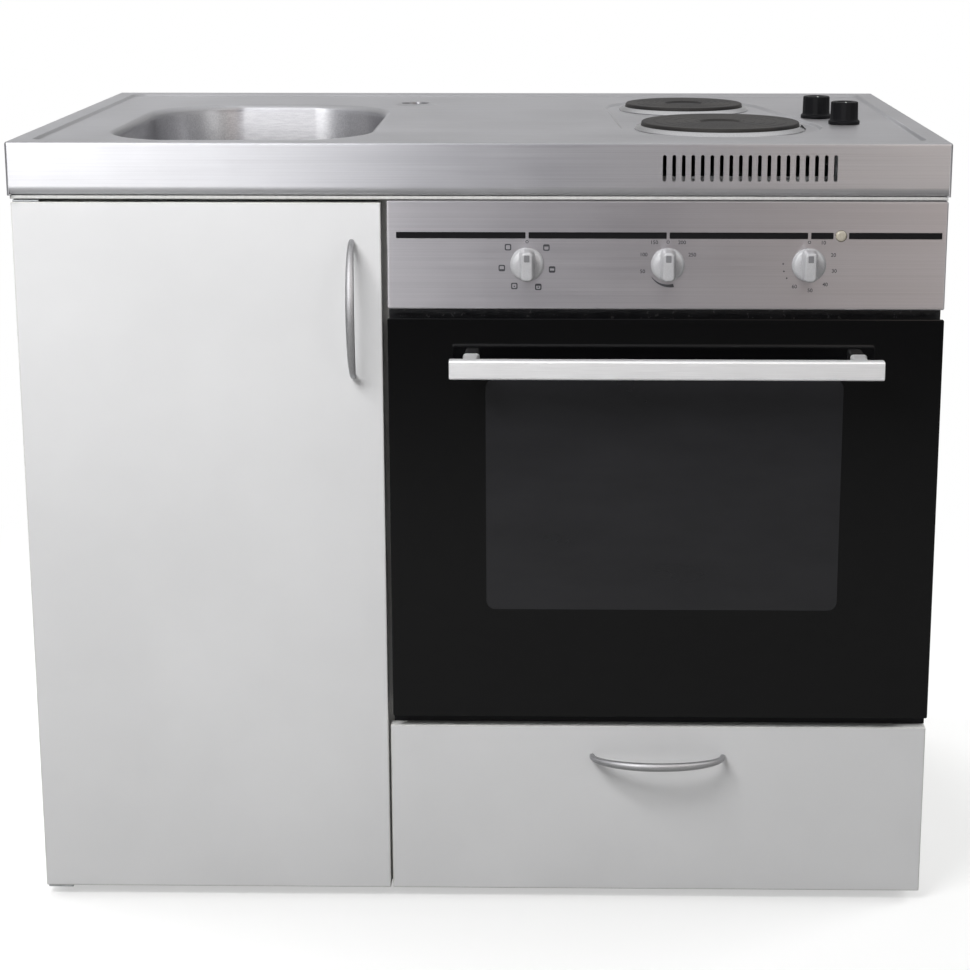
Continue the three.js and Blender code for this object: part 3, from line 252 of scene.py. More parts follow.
def rectRing(x0, x1, y0, y1, r, steps=6):     # a rounded rectangle, from its low left corner round
    return (arc((x0 + r, y0 + r), r, 180, 270, steps) + arc((x1 - r, y0 + r), r, 270, 360, steps)
            + arc((x1 - r, y1 - r), r, 0, 90, steps) + arc((x0 + r, y1 - r), r, 90, 180, steps))


def circle(x, y, r, steps=64):
    return arc((x, y), r, 0, 360, steps)[:-1]


def lifted(points, z):     # flat points as a level ring
    return [(x, y, z) for x, y in points]


def upright(points, y):    # flat points as a ring that faces the front
    return [(x, y, z) for x, z in points]


def lathe(profile, centre, facing="up", steps=64):     # a turned shape from (radius, height) points
    x, y, z = centre
    shape = Shape()
    rings = []
    for radius, height in profile:
        flat = circle(0, 0, radius, steps) if radius > 1e-6 else [(0, 0)]
        rings.append(shape.ring([(x + a, y + b, z + height) if facing == "up" else (x + a, y - height, z + b)
                                 for a, b in flat]))
    for first, second in zip(rings, rings[1:]):
        if len(first) == len(second):
            shape.bridge(first, second)
            continue
        tip, ring = sorted((first, second), key=len)
        for i in range(len(ring)):
            shape.face((tip[0], ring[i], ring[(i + 1) % len(ring)]))
    return shape


def smoothStep(t):
    return t * t * (3 - 2 * t)


# Materials

def linear(hexColour):     # sRGB hex to the linear values that shaders take
    parts = [int(hexColour[i:i + 2], 16) / 255 for i in (1, 3, 5)]
    return tuple(c / 12.92 if c <= 0.04045 else ((c + 0.055) / 1.055) ** 2.4 for c in parts) + (1.0,)


def addNode(tree, kind, inputs=None, **settings):     # an input is a value, a socket or a node, for its result
    node = tree.nodes.new("ShaderNode" + kind)
    for name, value in settings.items():
        setattr(node, name, value)
    for name, value in (inputs or {}).items():
        if isinstance(value, bpy.types.Node):
            value = next(socket for socket in value.outputs if socket.enabled)
        if isinstance(value, bpy.types.NodeSocket):
            tree.links.new(value, node.inputs[name])
        else:
            node.inputs[name].default_value = value
    return node


def newMaterial(name):     # an empty material, and the point in metres that its patterns are laid out by
    material = bpy.data.materials.new(name)
    material.use_nodes = True
    tree = material.node_tree
    tree.nodes.clear()
    return material, tree, addNode(tree, "TexCoord").outputs["Object"]


def layPatterns(tree, place, patterns):
    # Each has its size in millimetres, and can be squeezed along x, y and z
    made = {}
    for key, look in patterns.items():
        if "sum" in look:
            first, second = look["sum"]
            made[key] = addNode(tree, "Math", {0: made[first], 1: made[second]}, operation="ADD")
            continue
        spot = addNode(tree, "VectorMath", {0: place, 1: look.get("squeeze", (1, 1, 1))}, operation="MULTIPLY")
        layout = {"Vector": spot, "Scale": 1 / (look["size"] * mm)}
        if "cells" not in look:
            layout.update({"Detail": look.get("detail", 3), "Roughness": look.get("grit", 0.5)})
            made[key] = addNode(tree, "TexNoise", layout)
            continue
        cells = addNode(tree, "TexVoronoi", layout)
        made[key] = cells if look["cells"] == "centres" else addNode(
            tree, "SeparateColor", {0: cells.outputs["Color"]})
    return made


def makeFinish(name, surface, patterns, colour=None, rough=None, bump=None):
    # Colour and roughness each follow a pattern from one end to the other, bump with its strength and depth
    material, tree, place = newMaterial(name)
    made = layPatterns(tree, place, patterns)
    surface = dict(surface)
    if colour:
        key, first, second, *ends = colour
        low, high = ends or usualEnds
        share = addNode(tree, "MapRange", {"Value": made[key], "From Min": low, "From Max": high})
        surface["Base Color"] = addNode(
            tree, "Mix", {0: share, 6: linear(first), 7: linear(second)}, data_type="RGBA")
    if rough:
        key, smooth, dull, *ends = rough
        low, high = ends or usualEnds
        surface["Roughness"] = addNode(tree, "MapRange", {
            "Value": made[key], "From Min": low, "From Max": high, "To Min": smooth, "To Max": dull})
    if bump:
        key, strength, depth = bump
        surface["Normal"] = addNode(
            tree, "Bump", {"Height": made[key], "Strength": strength, "Distance": depth * mm})
    addNode(tree, "OutputMaterial", {"Surface": addNode(tree, "BsdfPrincipled", surface)})
    return material


usualEnds = (0.3, 0.7)       # where a noise pattern counts as all dark and all light

steelLook = {
    # the panel's pair is the top's steel painted darker and pinkish: painted shade and a painted reflection
    # tint
    "top": ("#B9B9BC", "#C6C6C9"), "panel": ("#B0AEB1", "#BAB8BB"),     # dark and light along the brushing
    "patterns": {                    # lines 240 mm long; real ones are near 0.1 mm wide, too fine to show
        "line": {"size": 0.6, "squeeze": (0.6 / 240, 1, 1)},
        "band": {"size": 5, "detail": 2, "squeeze": (5 / 333.3, 1, 1)},
        "smudge": {"size": 90}, "brushing": {"sum": ("line", "band")}},
    "brushedEnds": (0.75, 1.25), "rough": (0.3, 0.37), "smudge": (-0.02, 0.04),
    "anisotropy": 0.92, "bump": 0.12, "bumpDepth": 0.01,
}


def brushedSteel(part):
    # Stainless steel, cold rolled and belt brushed along the unit: reflections smear up and down
    material, tree, place = newMaterial(f"brushed_stainless_{part}")
    made = layPatterns(tree, place, steelLook["patterns"])
    dark, light = (linear(shade) for shade in steelLook[part])
    spread = []
    for key, (low, high), (least, most) in (
            ("line", usualEnds, (0, 1)), ("smudge", usualEnds, steelLook["smudge"]),
            ("brushing", steelLook["brushedEnds"], steelLook["rough"])):
        spread.append(addNode(tree, "MapRange", {
            "Value": made[key], "From Min": low, "From Max": high, "To Min": least, "To Max": most}))
    share, smudged, brushed = spread
    shader = addNode(tree, "BsdfPrincipled", {
        "Base Color": addNode(tree, "Mix", {0: share, 6: dark, 7: light}, data_type="RGBA"),
        "Metallic": 1.0,
        "Roughness": addNode(tree, "Math", {0: smudged, 1: brushed}, operation="ADD"),
        "Normal": addNode(tree, "Bump", {
            "Height": made["line"], "Strength": steelLook["bump"], "Distance": steelLook["bumpDepth"] * mm}),
        "Anisotropic": steelLook["anisotropy"],
        "Tangent": addNode(tree, "Tangent", direction_type="RADIAL", axis="X")})
    addNode(tree, "OutputMaterial", {"Surface": shader})
    return material


def melamine(name, light, dark, smooth, dull):
    # Melamine-faced chipboard, pressed in a steel plate: a plain sheet with the plate's fine pearl texture
    return makeFinish(name, {}, {"pearl": {"size": 1.1}, "cloud": {"size": 160}},
                      colour=("cloud", dark, light), rough=("pearl", smooth, dull), bump=("pearl", 0.18, 0.03))


def printedInk(name, dark, light):
    # Printing ink, a flat grey that stands a hair off what carries it, with the screen's fine grain
    return makeFinish(name, {}, {"grain": {"size": 0.5, "detail": 2}},
                      colour=("grain", dark, light), rough=("grain", 0.5, 0.65), bump=("grain", 0.1, 0.01))


# The control panel takes the same steel in its darker, pinkish pair: painted shade and a painted reflection
# tint
steel, shadedPanelSteel = brushedSteel("top"), brushedSteel("panel")

# Stainless steel, deep drawn and scrubbed by hand: an even satin with short crossing hairlines
drawnSteel = makeFinish(
    "drawn_stainless_steel", {"Metallic": 1.0},
    {"around": {"size": 0.7, "squeeze": (1, 0.04, 0.3)},
     "across": {"size": 0.7, "squeeze": (0.05, 1, 0.4)}, "both": {"sum": ("around", "across")}},
    colour=("both", "#B6B6B9", "#CBCBCD", 0.8, 1.2), rough=("both", 0.28, 0.36, 0.8, 1.2),
    bump=("both", 0.05, 0.006))

# Stainless steel, turned and polished: bright, with fine rings of tool marks
brightSteel = makeFinish(
    "polished_stainless_steel", {"Metallic": 1.0}, {"marks": {"size": 1.2, "detail": 4}},
    colour=("marks", "#C9C9CB", "#D8D8DA"), rough=("marks", 0.1, 0.2), bump=("marks", 0.1, 0.01))

frontBoard = melamine("white_melamine_front", "#E9E9EA", "#E3E3E4", 0.35, 0.47)
carcassBoard = melamine("white_melamine_carcass", "#DEDDD9", "#D6D5D1", 0.45, 0.57)

# ABS edge band, extruded and glued on: a shade off the board, with faint scraper marks along it
band = makeFinish(
    "abs_edge_band", {"IOR": 1.53}, {"marks": {"size": 0.9, "detail": 2, "squeeze": (0.3, 1, 0.05)}},
    colour=("marks", "#D3D3D1", "#DEDEDC"), rough=("marks", 0.36, 0.5), bump=("marks", 0.15, 0.02))

# Float glass, toughened and enamelled black behind: a deep black under a hard reflection, with faint wipe marks
glassPatterns = {"wipes": {"size": 70, "detail": 4, "grit": 0.6, "squeeze": (0.35, 1, 1)},
                 "waves": {"size": 180, "detail": 1}}
blackGlass = makeFinish(
    "black_enamelled_glass", {"Specular IOR Level": 0.28, "Base Color": linear("#060607")},
    glassPatterns, rough=("wipes", 0.025, 0.08), bump=("waves", 0.04, 0.4))

# The clear part of the same pane, kept opaque: its greyer colour is painted reflection, standing in for the
# light that it and the panes inside send back
paneGlassPaintedReflection = makeFinish(
    "tinted_window_painted_reflection", {"Specular IOR Level": 0.45}, glassPatterns,
    colour=("wipes", "#1B1B1E", "#232326"), rough=("wipes", 0.04, 0.1), bump=("waves", 0.04, 0.4))

# Float glass with a heat-holding coat, dark and a little bronze
coatedGlass = makeFinish(
    "coated_inner_glass", {"Base Color": linear("#17161A")}, {"film": {"size": 40}},
    rough=("film", 0.04, 0.14), bump=("film", 0.05, 0.1))

# Cast iron, turned on its face and blackened: concentric tool rings, a dry sheen and faint heat browning
iron = makeFinish(
    "turned_cast_iron", {"Metallic": 0.35},
    {"grit": {"size": 0.9, "detail": 4, "grit": 0.6}, "burn": {"size": 45}},
    colour=("burn", "#1D1C1D", "#2B2927"), rough=("grit", 0.42, 0.62), bump=("grit", 0.45, 0.06))

# Vitreous enamel fired on steel: glossy dark grey with fine pale specks
enamel = makeFinish(
    "fired_vitreous_enamel", {"IOR": 1.55},
    {"specks": {"size": 3.2, "cells": "centres"}, "peel": {"size": 5, "detail": 2}},
    colour=("specks", "#4A4C50", "#222326", 0.08, 0.13), rough=("peel", 0.16, 0.28), bump=("peel", 0.12, 0.08))

# Sheet steel, hot-dip galvanised: pale grey with leafy spangle and dull patches
zinc = makeFinish(
    "galvanised_sheet_steel", {"Metallic": 1.0},
    {"spangle": {"size": 9, "cells": "tones"}, "skin": {"size": 1.5}},
    colour=("spangle", "#ABAEB0", "#BCBFC1", 0, 1), rough=("spangle", 0.34, 0.52, 0, 1),
    bump=("skin", 0.12, 0.03))

# Zinc, die cast and satin nickel plated: soft grey metal, with a fine hair from brushing
nickel = makeFinish(
    "satin_nickel_plate", {"Metallic": 1.0}, {"lines": {"size": 0.5, "squeeze": (0.4, 0.4, 0.4)}},
    colour=("lines", "#ACACAE", "#B9B9BB"), rough=("lines", 0.38, 0.46), bump=("lines", 0.05, 0.006))

# Aluminium, extruded, brushed and clear anodised: a bright silver white with level lines
aluminium = makeFinish(
    "anodised_aluminium", {"Metallic": 0.45}, {"lines": {"size": 0.5, "squeeze": (0.01, 1, 1)}},
    colour=("lines", "#F0F0F1", "#FAFAFB"), rough=("lines", 0.3, 0.42), bump=("lines", 0.15, 0.015))

# ABS, moulded and lacquered silver: a pale pearly grey with a fine metallic fleck
silver = makeFinish(
    "silver_lacquered_abs", {"Metallic": 0.25, "IOR": 1.53, "Coat Weight": 0.3, "Coat Roughness": 0.15},
    {"fleck": {"size": 0.5, "detail": 2}},
    colour=("fleck", "#B4B4B7", "#C9C9CB"), rough=("fleck", 0.3, 0.42), bump=("fleck", 0.08, 0.015))

# ABS, injection moulded in a spark-eroded tool: a fine even grain that dulls the black
black = makeFinish(
    "black_moulded_abs", {"IOR": 1.53, "Specular IOR Level": 0.12}, {"grain": {"size": 0.8}},
    colour=("grain", "#0B0B0D", "#131315"), rough=("grain", 0.42, 0.56), bump=("grain", 0.25, 0.03))

# Polypropylene, injection moulded: a waxy, slightly warm white
white = makeFinish(
    "white_moulded_polypropylene", {"IOR": 1.49, "Subsurface Weight": 0.05, "Subsurface Scale": 0.004},
    {"wax": {"size": 14}},
    colour=("wax", "#D9D8D2", "#E6E5E0"), rough=("wax", 0.34, 0.48), bump=("wax", 0.08, 0.05))

# Silicone rubber over a braided core: dull dark grey with a fine knit
seal = makeFinish(
    "silicone_door_seal", {"IOR": 1.41}, {"knit": {"size": 1.4, "cells": "centres"}},
    colour=("knit", "#2A2A2C", "#414144", 0, 0.8), rough=("knit", 0.7, 0.9, 0, 0.8), bump=("knit", 0.4, 0.15))

# Polycarbonate, moulded with fine ribs: a pale lens that holds a little light
lens = makeFinish(
    "polycarbonate_lens", {"IOR": 1.58, "Transmission Weight": 0.25},
    {"ribs": {"size": 0.6, "detail": 1, "squeeze": (1, 0.1, 0.1)}},
    colour=("ribs", "#C6BCA8", "#E2DCCD"), rough=("ribs", 0.12, 0.24), bump=("ribs", 0.2, 0.05))

# Steel wire, drawn, welded and chrome plated: bright with a few dull spots at the welds
chrome = makeFinish(
    "chrome_plated_wire", {"Metallic": 1.0}, {"spots": {"size": 12}},
    colour=("spots", "#BDBDC0", "#D6D6D8"), rough=("spots", 0.12, 0.28), bump=("spots", 0.05, 0.05))

ink = printedInk("screen_printed_ink", "#3C3D41", "#48494D")
greyInlay = printedInk("pad_printed_grey", "#77777A", "#828285")
report("materials")

# Worktop

top = {
    "width": 1000, "depth": 600, "height": 865, "sheet": 1.2,
    "cornerRadius": 3, "edgeRadius": 2.5,        # outside corners and the rolled upper edge
    "borderWidth": 24, "borderHeight": 3, "stepRun": 5, "deckCorner": 14, "flatRun": 3,
    "apronBottom": 808, "lipRadius": 10, "lipReturn": 4, "rearLip": 20,
    "bowl": (-416, -120, 43, 460, 105), "bowlRoll": 7.5, "bowlStart": -1.5, "bowlHem": 1.5,
    "plates": ((270, 202, 90), (241, 430, 72.5)), "wellMargin": 24, "wellDepth": 3, "plateHole": 2.5,
    "stems": ((391, 300), (415, 229)), "stemHole": 5,     # of the knobs, the rear one first
    "tap": (-97, 466), "tapHole": 17.5, "tapCollar": 27, "tapRise": 2, "tapRound": 1.5,
    "ventCount": 19, "ventPitch": 10, "ventWidth": 4, "ventHeight": 28, "ventX": 287.5, "ventZ": 838.3,
}


def wellPath(margin):     # two arcs round the hotplates and their outer tangents
    (x1, y1, r1), (x2, y2, r2) = top["plates"]
    bearing = math.degrees(math.atan2(y2 - y1, x2 - x1))
    tangent = math.degrees(math.acos((r1 - r2) / math.hypot(x2 - x1, y2 - y1)))
    return (arc((x1, y1), r1 + margin, bearing + tangent, bearing - tangent + 360, 56)
            + arc((x2, y2), r2 + margin, bearing - tangent, bearing + tangent, 40))


def bowlPath(inset):
    x0, x1, y0, y1, radius = top["bowl"]
    return rectRing(x0 + inset, x1 - inset, y0 + inset, y1 - inset, radius - inset, 18)


def stepRings(path, start, end, high, low):     # a soft pressed step between two levels
    return [lifted(path(start + (end - start) * i / 8), high - (high - low) * smoothStep(i / 8))
            for i in range(9)]


def buildWorktop():
    shape = Shape()
    wide, depth, height = top["width"] / 2, top["depth"], top["height"]
    deckZ = height - top["borderHeight"]
    wellZ = deckZ - top["wellDepth"]
    steps = 6

    def outline(inset, radius):
        return rectRing(inset - wide, wide - inset, inset, depth - inset, radius, steps)

    # the upper edge, rolled over into the border
    made = shape.skin([lifted(outline(inset, top["cornerRadius"] - inset), height - drop)
                       for inset, drop in roundedEdge(top["edgeRadius"], 15)])
    upperEdge = made[0]
    half, flat = top["stepRun"] / 2, top["flatRun"]
    start, end = top["borderWidth"] - half, top["borderWidth"] + half
    pressing = stepRings(lambda inset: outline(inset, top["deckCorner"] + top["borderWidth"] - inset),
                         start, end, height, deckZ)
    pressing.append(lifted(outline(end + flat, top["deckCorner"] + top["borderWidth"] - end - flat), deckZ))
    step = shape.skin(pressing)
    shape.bridge(made[-1], step[0])

    # deck, well and bowl mouth
    start, end = top["wellMargin"] + half, top["wellMargin"] - half
    well = shape.skin([lifted(wellPath(start + flat), deckZ), *stepRings(wellPath, start, end, deckZ, wellZ),
                       lifted(wellPath(end - flat), wellZ)])
    roll = [lifted(bowlPath(top["bowlStart"] - flat), deckZ)]
    for angle in range(0, 91, 10):
        reach, up = polar((top["bowlStart"], 0), top["bowlRoll"], 90 - angle)
        roll.append(lifted(bowlPath(reach), deckZ - top["bowlRoll"] + up))
    roll.append(lifted(bowlPath(reach + 0.15), deckZ - top["bowlRoll"] - top["bowlHem"]))
    mouth = shape.skin(roll)
    # the tap hole's raised collar, its inner edge rounded
    hole, collar, rise = top["tapHole"], top["tapCollar"], top["tapRise"]
    slope = collar - hole - top["tapRound"]
    collarRings = shape.skin([lifted(circle(*top["tap"], radius, 48), deckZ + z) for radius, z in (
        (collar + flat, 0), *((collar - slope * i / 6, rise * smoothStep(i / 6)) for i in range(7)),
        (hole + 0.4, rise - 0.15), (hole, rise - 0.7), (hole, -1))])
    stems = [shape.ring(lifted(circle(x, y, top["stemHole"], 20), deckZ)) for x, y in top["stems"]]
    shape.fill(step[-1], [mouth[0], well[0], collarRings[0], *stems])
    plateHoles = [shape.ring(lifted(circle(x, y, r + top["plateHole"]), wellZ)) for x, y, r in top["plates"]]
    shape.fill(well[-1], plateHoles)

    # aprons: an open run from the rear left corner round the front to the rear right corner
    corner = steps + 1
    run = [*range(3 * corner, 4 * corner), *range(0, 3 * corner)]
    base = outline(0, top["cornerRadius"])
    lipTop = top["apronBottom"] + top["lipRadius"]
    front = 2 * corner - 1     # where the straight front begins in the run
    edgeLow = [upperEdge[i] for i in run]
    upper, middle, lower = (shape.ring([(*base[i], z) for i in run]) for z in (
        height - top["edgeRadius"] - 2, lipTop, top["apronBottom"]))
    shape.bridge(edgeLow, upper, closed=False)
    for first, second in ((upper, middle), (middle, lower)):
        for i in range(len(run) - 1):
            if i != front:
                shape.face((first[i], first[i + 1], second[i + 1], second[i]))
    ends = (base[run[front]], base[run[front + 1]])
    levels = [polar((top["lipRadius"], lipTop), top["lipRadius"], angle) for angle in range(190, 271, 10)]
    levels.append((top["lipRadius"] + top["lipReturn"], top["apronBottom"]))
    lip = [middle[front:front + 2], *(shape.ring([(x, y + reach, z) for x, y in ends]) for reach, z in levels)]
    for first, second in zip(lip, lip[1:]):
        shape.bridge(first, second, closed=False)
    vents = []
    for i in range(top["ventCount"]):
        x = top["ventX"] + (i - (top["ventCount"] - 1) / 2) * top["ventPitch"]
        r, reach = top["ventWidth"] / 2, (top["ventHeight"] - top["ventWidth"]) / 2
        slot = arc((x, top["ventZ"] + reach), r, 0, 180, 8) + arc((x, top["ventZ"] - reach), r, 180, 360, 8)
        vents.append(shape.ring(upright(slot, 0)))
    shape.fill([*upper[front:front + 2], middle[front + 1], middle[front]], vents)
    rear = shape.ring([(*base[i], height - top["rearLip"]) for i in (3 * corner - 1, 3 * corner)])
    shape.face((upperEdge[3 * corner - 1], upperEdge[3 * corner], rear[1], rear[0]))
    addPiece("worktop_sheet", shape, steel, "stainless_steel", stands="worktop", thickness=top["sheet"])


buildWorktop()
report("worktop")

# Sink

sink = {
    "rim": 5.92, "rimTop": 856, "wallTop": 853,      # how far in the pressing starts, and where its wall does
    "foot": 14, "floorRadius": 35, "floorZ": 710.5, "floorFall": 4, "fallTurn": 0.65, "sheet": 1.2,
    "waste": (-268, 251.5, 706.8), "wasteSeat": 60, "wasteHole": 42.8,
    "wasteProfile": (                # (radius, height, round) of the cup and its flange, outside and inside
        (20, -90, 0), (20, -56, 1), (42, -56, 3), (42, -0.2, 0.5), (56, -0.1, 0.2), (55.6, 0.9, 0.3),
        (50, 1.5, 3), (42.5, 1.3, 1.5), (40.5, -2, 1.5), (40.5, -54.5, 3), (17.5, -54.5, 1), (17.5, -90, 0)),
}


def buildBowl():
    rim, foot, r, fall = sink["rim"], sink["foot"], sink["floorRadius"], sink["floorFall"]
    footZ, wallTop = sink["floorZ"] + r, sink["wallTop"]
    rings = [lifted(bowlPath(rim), sink["rimTop"])]
    for i in range(7):
        t = i / 7
        rings.append(lifted(bowlPath(rim + (foot - rim) * t), wallTop + (footZ - wallTop) * t))
    for inset, drop in roundedEdge(r, 6):
        rings.append(lifted(bowlPath(foot + inset), footZ - r + drop))
    last = bowlPath(foot + r)
    waste = sink["waste"][:2]
    seat, hole = ([point for quarter in range(4) for point in arc(
        waste, sink[key], 180 + 90 * quarter, 270 + 90 * quarter, 18)] for key in ("wasteSeat", "wasteHole"))
    for i in range(1, 15):
        t = i / 14
        z = sink["floorZ"] - fall * (sink["fallTurn"] * smoothStep(t) + (1 - sink["fallTurn"]) * t)
        rings.append([(a[0] + (b[0] - a[0]) * t, a[1] + (b[1] - a[1]) * t, z) for a, b in zip(last, seat)])
    rings.append(lifted(hole, sink["floorZ"] - fall))
    shape = Shape()
    shape.skin(rings)
    addPiece("bowl_pressing", shape, drawnSteel, "stainless_steel", stands="sink_bowl",
             thickness=sink["sheet"], inward=True)


def buildWaste():
    profile = roundPath(sink["wasteProfile"], steps=4)
    addPiece("waste_cup_turned", lathe([*profile, profile[0]], sink["waste"]), brightSteel, "stainless_steel",
             stands="sink_waste")


buildBowl()
buildWaste()
easedCopy("strainer_basket", brightSteel, "stainless_steel", width=0.25, angle=35)
report("sink")

# Hob

hob = {
    "plateTop": 868, "plateThickness": 14, "dishRadius": 24, "dishDepth": 2,
    "rimRound": 1.8, "rimWidth": 12, "dishRound": (1, 1.2), "dishWall": 2.4, "spigot": (7, 8),
    "grooves": 5, "grooveWidth": 2, "grooveDepth": 0.35, "grooveFloor": 0.7,     # shallow and turned
    "grooveStart": 14, "grooveEnd": 4,           # the first is in from the rim, the last is out from the dish
    "ring": (                        # (past the plate's edge, height, round) of the bright ring and its ledge
        (-6, 853.7, 0.3), (0.3, 853.7, 0.5), (0.3, 863.9, 0.4), (2, 864.1, 1), (5, 862.6, 2.5), (8, 859.8, 0.5),
        (7.6, 859.3, 0.2), (2, 859.3, 0.6), (2, 852.5, 0.6), (-6, 852.5, 0.3)),
    "stem": (3, 843.8), "knobBase": 862.3,
    "knob": (                        # (radius, height over its base, round)
        (3, 0, 0), (18, 0, 0.5), (18, 3.4, 0.9), (16.5, 4.6, 0.6), (16, 6, 0.8), (15.5, 25.55, 1.6),
        (9, 25.55, 0.8), (8.2, 24.7, 0.6), (0.5, 24.7, 0)),
    "flutes": 18, "fluteDepth": 0.035, "fluted": (6.5, 25.2, 14.6),     # from and to a height, past a radius
    "mark": (-0.8, 0.8, -13.8, -9.2), "markZ": (887.4, 888),
}


def buildPlate(place, x, y, r):
    topZ, dish, floor = hob["plateTop"], hob["dishRadius"], hob["plateTop"] - hob["dishDepth"]
    under = topZ - hob["plateThickness"]
    ring = roundPath([(r + past, z, turn) for past, z, turn in hob["ring"]], closed=True, steps=4)
    addPiece(f"hob_ring_{place}_bright", lathe([*ring, ring[0]], (x, y, 0), steps=96), brightSteel,
             "stainless_steel", stands=f"hob_ring_{place}", sharpAngle=50)
    inset, depth = hob["spigot"]
    profile = [(0, under - depth), (r - inset, under - depth), (r - inset, under), (r, under)]
    profile += roundPath([(r, under, 0), (r, topZ, hob["rimRound"]), (r - hob["rimWidth"], topZ, 0)])[1:]
    half, bed, low = hob["grooveWidth"] / 2, hob["grooveFloor"] / 2, topZ - hob["grooveDepth"]
    start, end = r - hob["grooveStart"], dish + hob["grooveEnd"]
    for i in range(hob["grooves"]):
        middle = start - (start - end) * i / (hob["grooves"] - 1)
        profile += [(middle + half, topZ), (middle + bed, low), (middle - bed, low), (middle - half, topZ)]
    upperTurn, lowerTurn = hob["dishRound"]
    profile += roundPath([(dish + 2, topZ, 0), (dish, topZ, upperTurn),
                          (dish - hob["dishWall"], floor, lowerTurn), (0.5, floor, 0)], steps=4)
    profile.append((0, floor))
    addPiece(f"hob_plate_{place}_cast", lathe(profile, (x, y, 0), steps=96), iron, "hotplate_iron",
             stands=f"hob_plate_{place}", sharpAngle=24)


def buildHobKnob(place, x, y):
    base, (stem, stemZ) = hob["knobBase"], hob["stem"]
    profile = [(0, stemZ), (stem, stemZ), (stem, base)]
    profile += roundPath([(r, base + z, turn) for r, z, turn in hob["knob"]], steps=4)[1:]
    profile.append((0, profile[-1][1]))
    shape = lathe(profile, (x, y, 0), steps=72)
    low, high, past = hob["fluted"]
    for point in shape.points:     # shallow finger flutes round the grip
        reach = math.hypot(point.x - x, point.y - y)
        if low < point.z - base < high and reach > past:
            angle = math.atan2(point.y - y, point.x - x)
            pull = 1 - hob["fluteDepth"] * max(0.0, math.cos(hob["flutes"] * angle)) ** 2
            point.x, point.y = x + (point.x - x) * pull, y + (point.y - y) * pull
    body = f"{place}_plate_knob"
    addPiece(f"hob_knob_{place}_moulded", shape, black, "black_plastic", body, f"hob_knob_{place}")
    left, right, near, far = hob["mark"]
    bar = rectRing(x + left, x + right, y + near, y + far, 0.5, 3)
    mark = Shape()
    mark.solid([lifted(bar, z) for z in hob["markZ"]])
    addPiece(f"hob_knob_{place}_pointer", mark, white, "white_plastic", body)


for hobPlace, plate, knob in zip(("front", "rear"), top["plates"], top["stems"][::-1]):
    buildPlate(hobPlace, *plate)
    buildHobKnob(hobPlace, *knob)
report("hob")

# Boards

for node in (
        "left_side_panel", "right_side_panel", "sink_base_panel", "drawer_base_panel", "oven_shelf",
        "front_rail", "rear_rail", "drawer_side_left", "drawer_side_right", "drawer_back", "drawer_bottom"):
    boardPiece(node, carcassBoard, band, "white_laminate" if "side_panel" in node else "carcass_board")
for node in ("centre_partition", "back_panel"):
    easedCopy(node, carcassBoard, "carcass_board", width=0.4)
for node in ("cabinet_door", "drawer_front"):
    boardPiece(node, frontBoard, band, "white_laminate", ease=1.0, rimWidth=1.4)
report("boards")

# Bow handles

bow = {"length": 147, "reach": 32, "width": 9.5, "endWidth": 5.5, "thickness": 6, "rootY": 7.7}


def buildBow(name, body, node, standing):     # a bow along X, or along Z when it stands
    (x0, x1), _, (z0, z1) = boxOf(node)
    middle = Vector(((x0 + x1) / 2, bow["rootY"], (z0 + z1) / 2))
    steps, sides, half = 64, 24, bow["length"] / 2
    rings = []
    for k in range(steps + 1):
        t = math.pi * k / steps
        centre = Vector((-half * math.cos(t), -bow["reach"] * math.sin(t), 0))
        along = Vector((half * math.sin(t), -bow["reach"] * math.cos(t), 0)).normalized()
        across = Vector((-along.y, along.x, 0))
        width = bow["endWidth"] + (bow["width"] - bow["endWidth"]) * math.sin(t)
        ring = []
        for i in range(sides):
            angle = 2 * math.pi * i / sides
            c, s = math.cos(angle), math.sin(angle)
            flat = math.copysign(abs(c) ** 0.75, c)     # a little squarer than an ellipse
            point = centre + across * (bow["thickness"] / 2 * flat)
            point.z = width / 2 * math.copysign(abs(s) ** 0.9, s)
            ring.append(middle + (point.zyx if standing else point))
        rings.append(ring)
    shape = Shape()
    shape.solid(rings)
    addPiece(name, shape, nickel, "satin_handle", body, node)


buildBow("cabinet_door_bow", "cupboard_door", "cabinet_door_handle", True)
buildBow("drawer_bow", "drawer", "drawer_handle", False)
report("bow handles")

# Oven door

ovenDoor = {
    "left": -97.5, "right": 498.5, "bottom": 223, "top": 676, "face": 2, "glass": 4, "corner": 2, "ease": 0.8,
    "window": (7.5, 393.5, 349, 610, 10), "bar": (-29.5, 430.5), "barZ": 629, "barHeight": 21, "barFront": -43,
    "barDepth": 12, "barRound": 2.4, "barEnd": ((0, 0.9), (0.35, 0.97), (1.2, 1)),     # (from its end, share)
    "postInset": 22, "postWidth": 16, "postRound": 3, "postFoot": 1.12,     # it widens at the glass
}


def frontRing(part, inset, corner, y, steps):     # a front's outline, drawn in from its edges
    return upright(rectRing(part["left"] + inset, part["right"] - inset, part["bottom"] + inset,
                            part["top"] - inset, corner, steps), y)


def buildGlass():
    face, rear, ease = ovenDoor["face"], ovenDoor["face"] + ovenDoor["glass"], ovenDoor["ease"]
    turns = ((ease, 0), (ease * 0.3, ease * 0.3), (0, ease))     # the ground edge of either face
    rims = [(inset, face + drop) for inset, drop in turns]
    rims += [(inset, rear - drop) for inset, drop in turns[::-1]]
    shape = Shape()
    made = shape.skin([frontRing(ovenDoor, inset, max(ovenDoor["corner"] - inset, 0.4), y, 6)
                       for inset, y in rims])
    x0, x1, z0, z1, windowR = ovenDoor["window"]
    window = shape.ring(upright(rectRing(x0, x1, z0, z1, windowR, 8), face))
    shape.fill(made[0], [window])
    # the window takes the greyer glass, its grey a painted reflection
    shape.fill(window, kind=1)
    shape.fill(made[-1])
    addPiece("oven_door_pane", shape, [blackGlass, paneGlassPaintedReflection], "door_glass", "oven_door", "oven_door_glass")


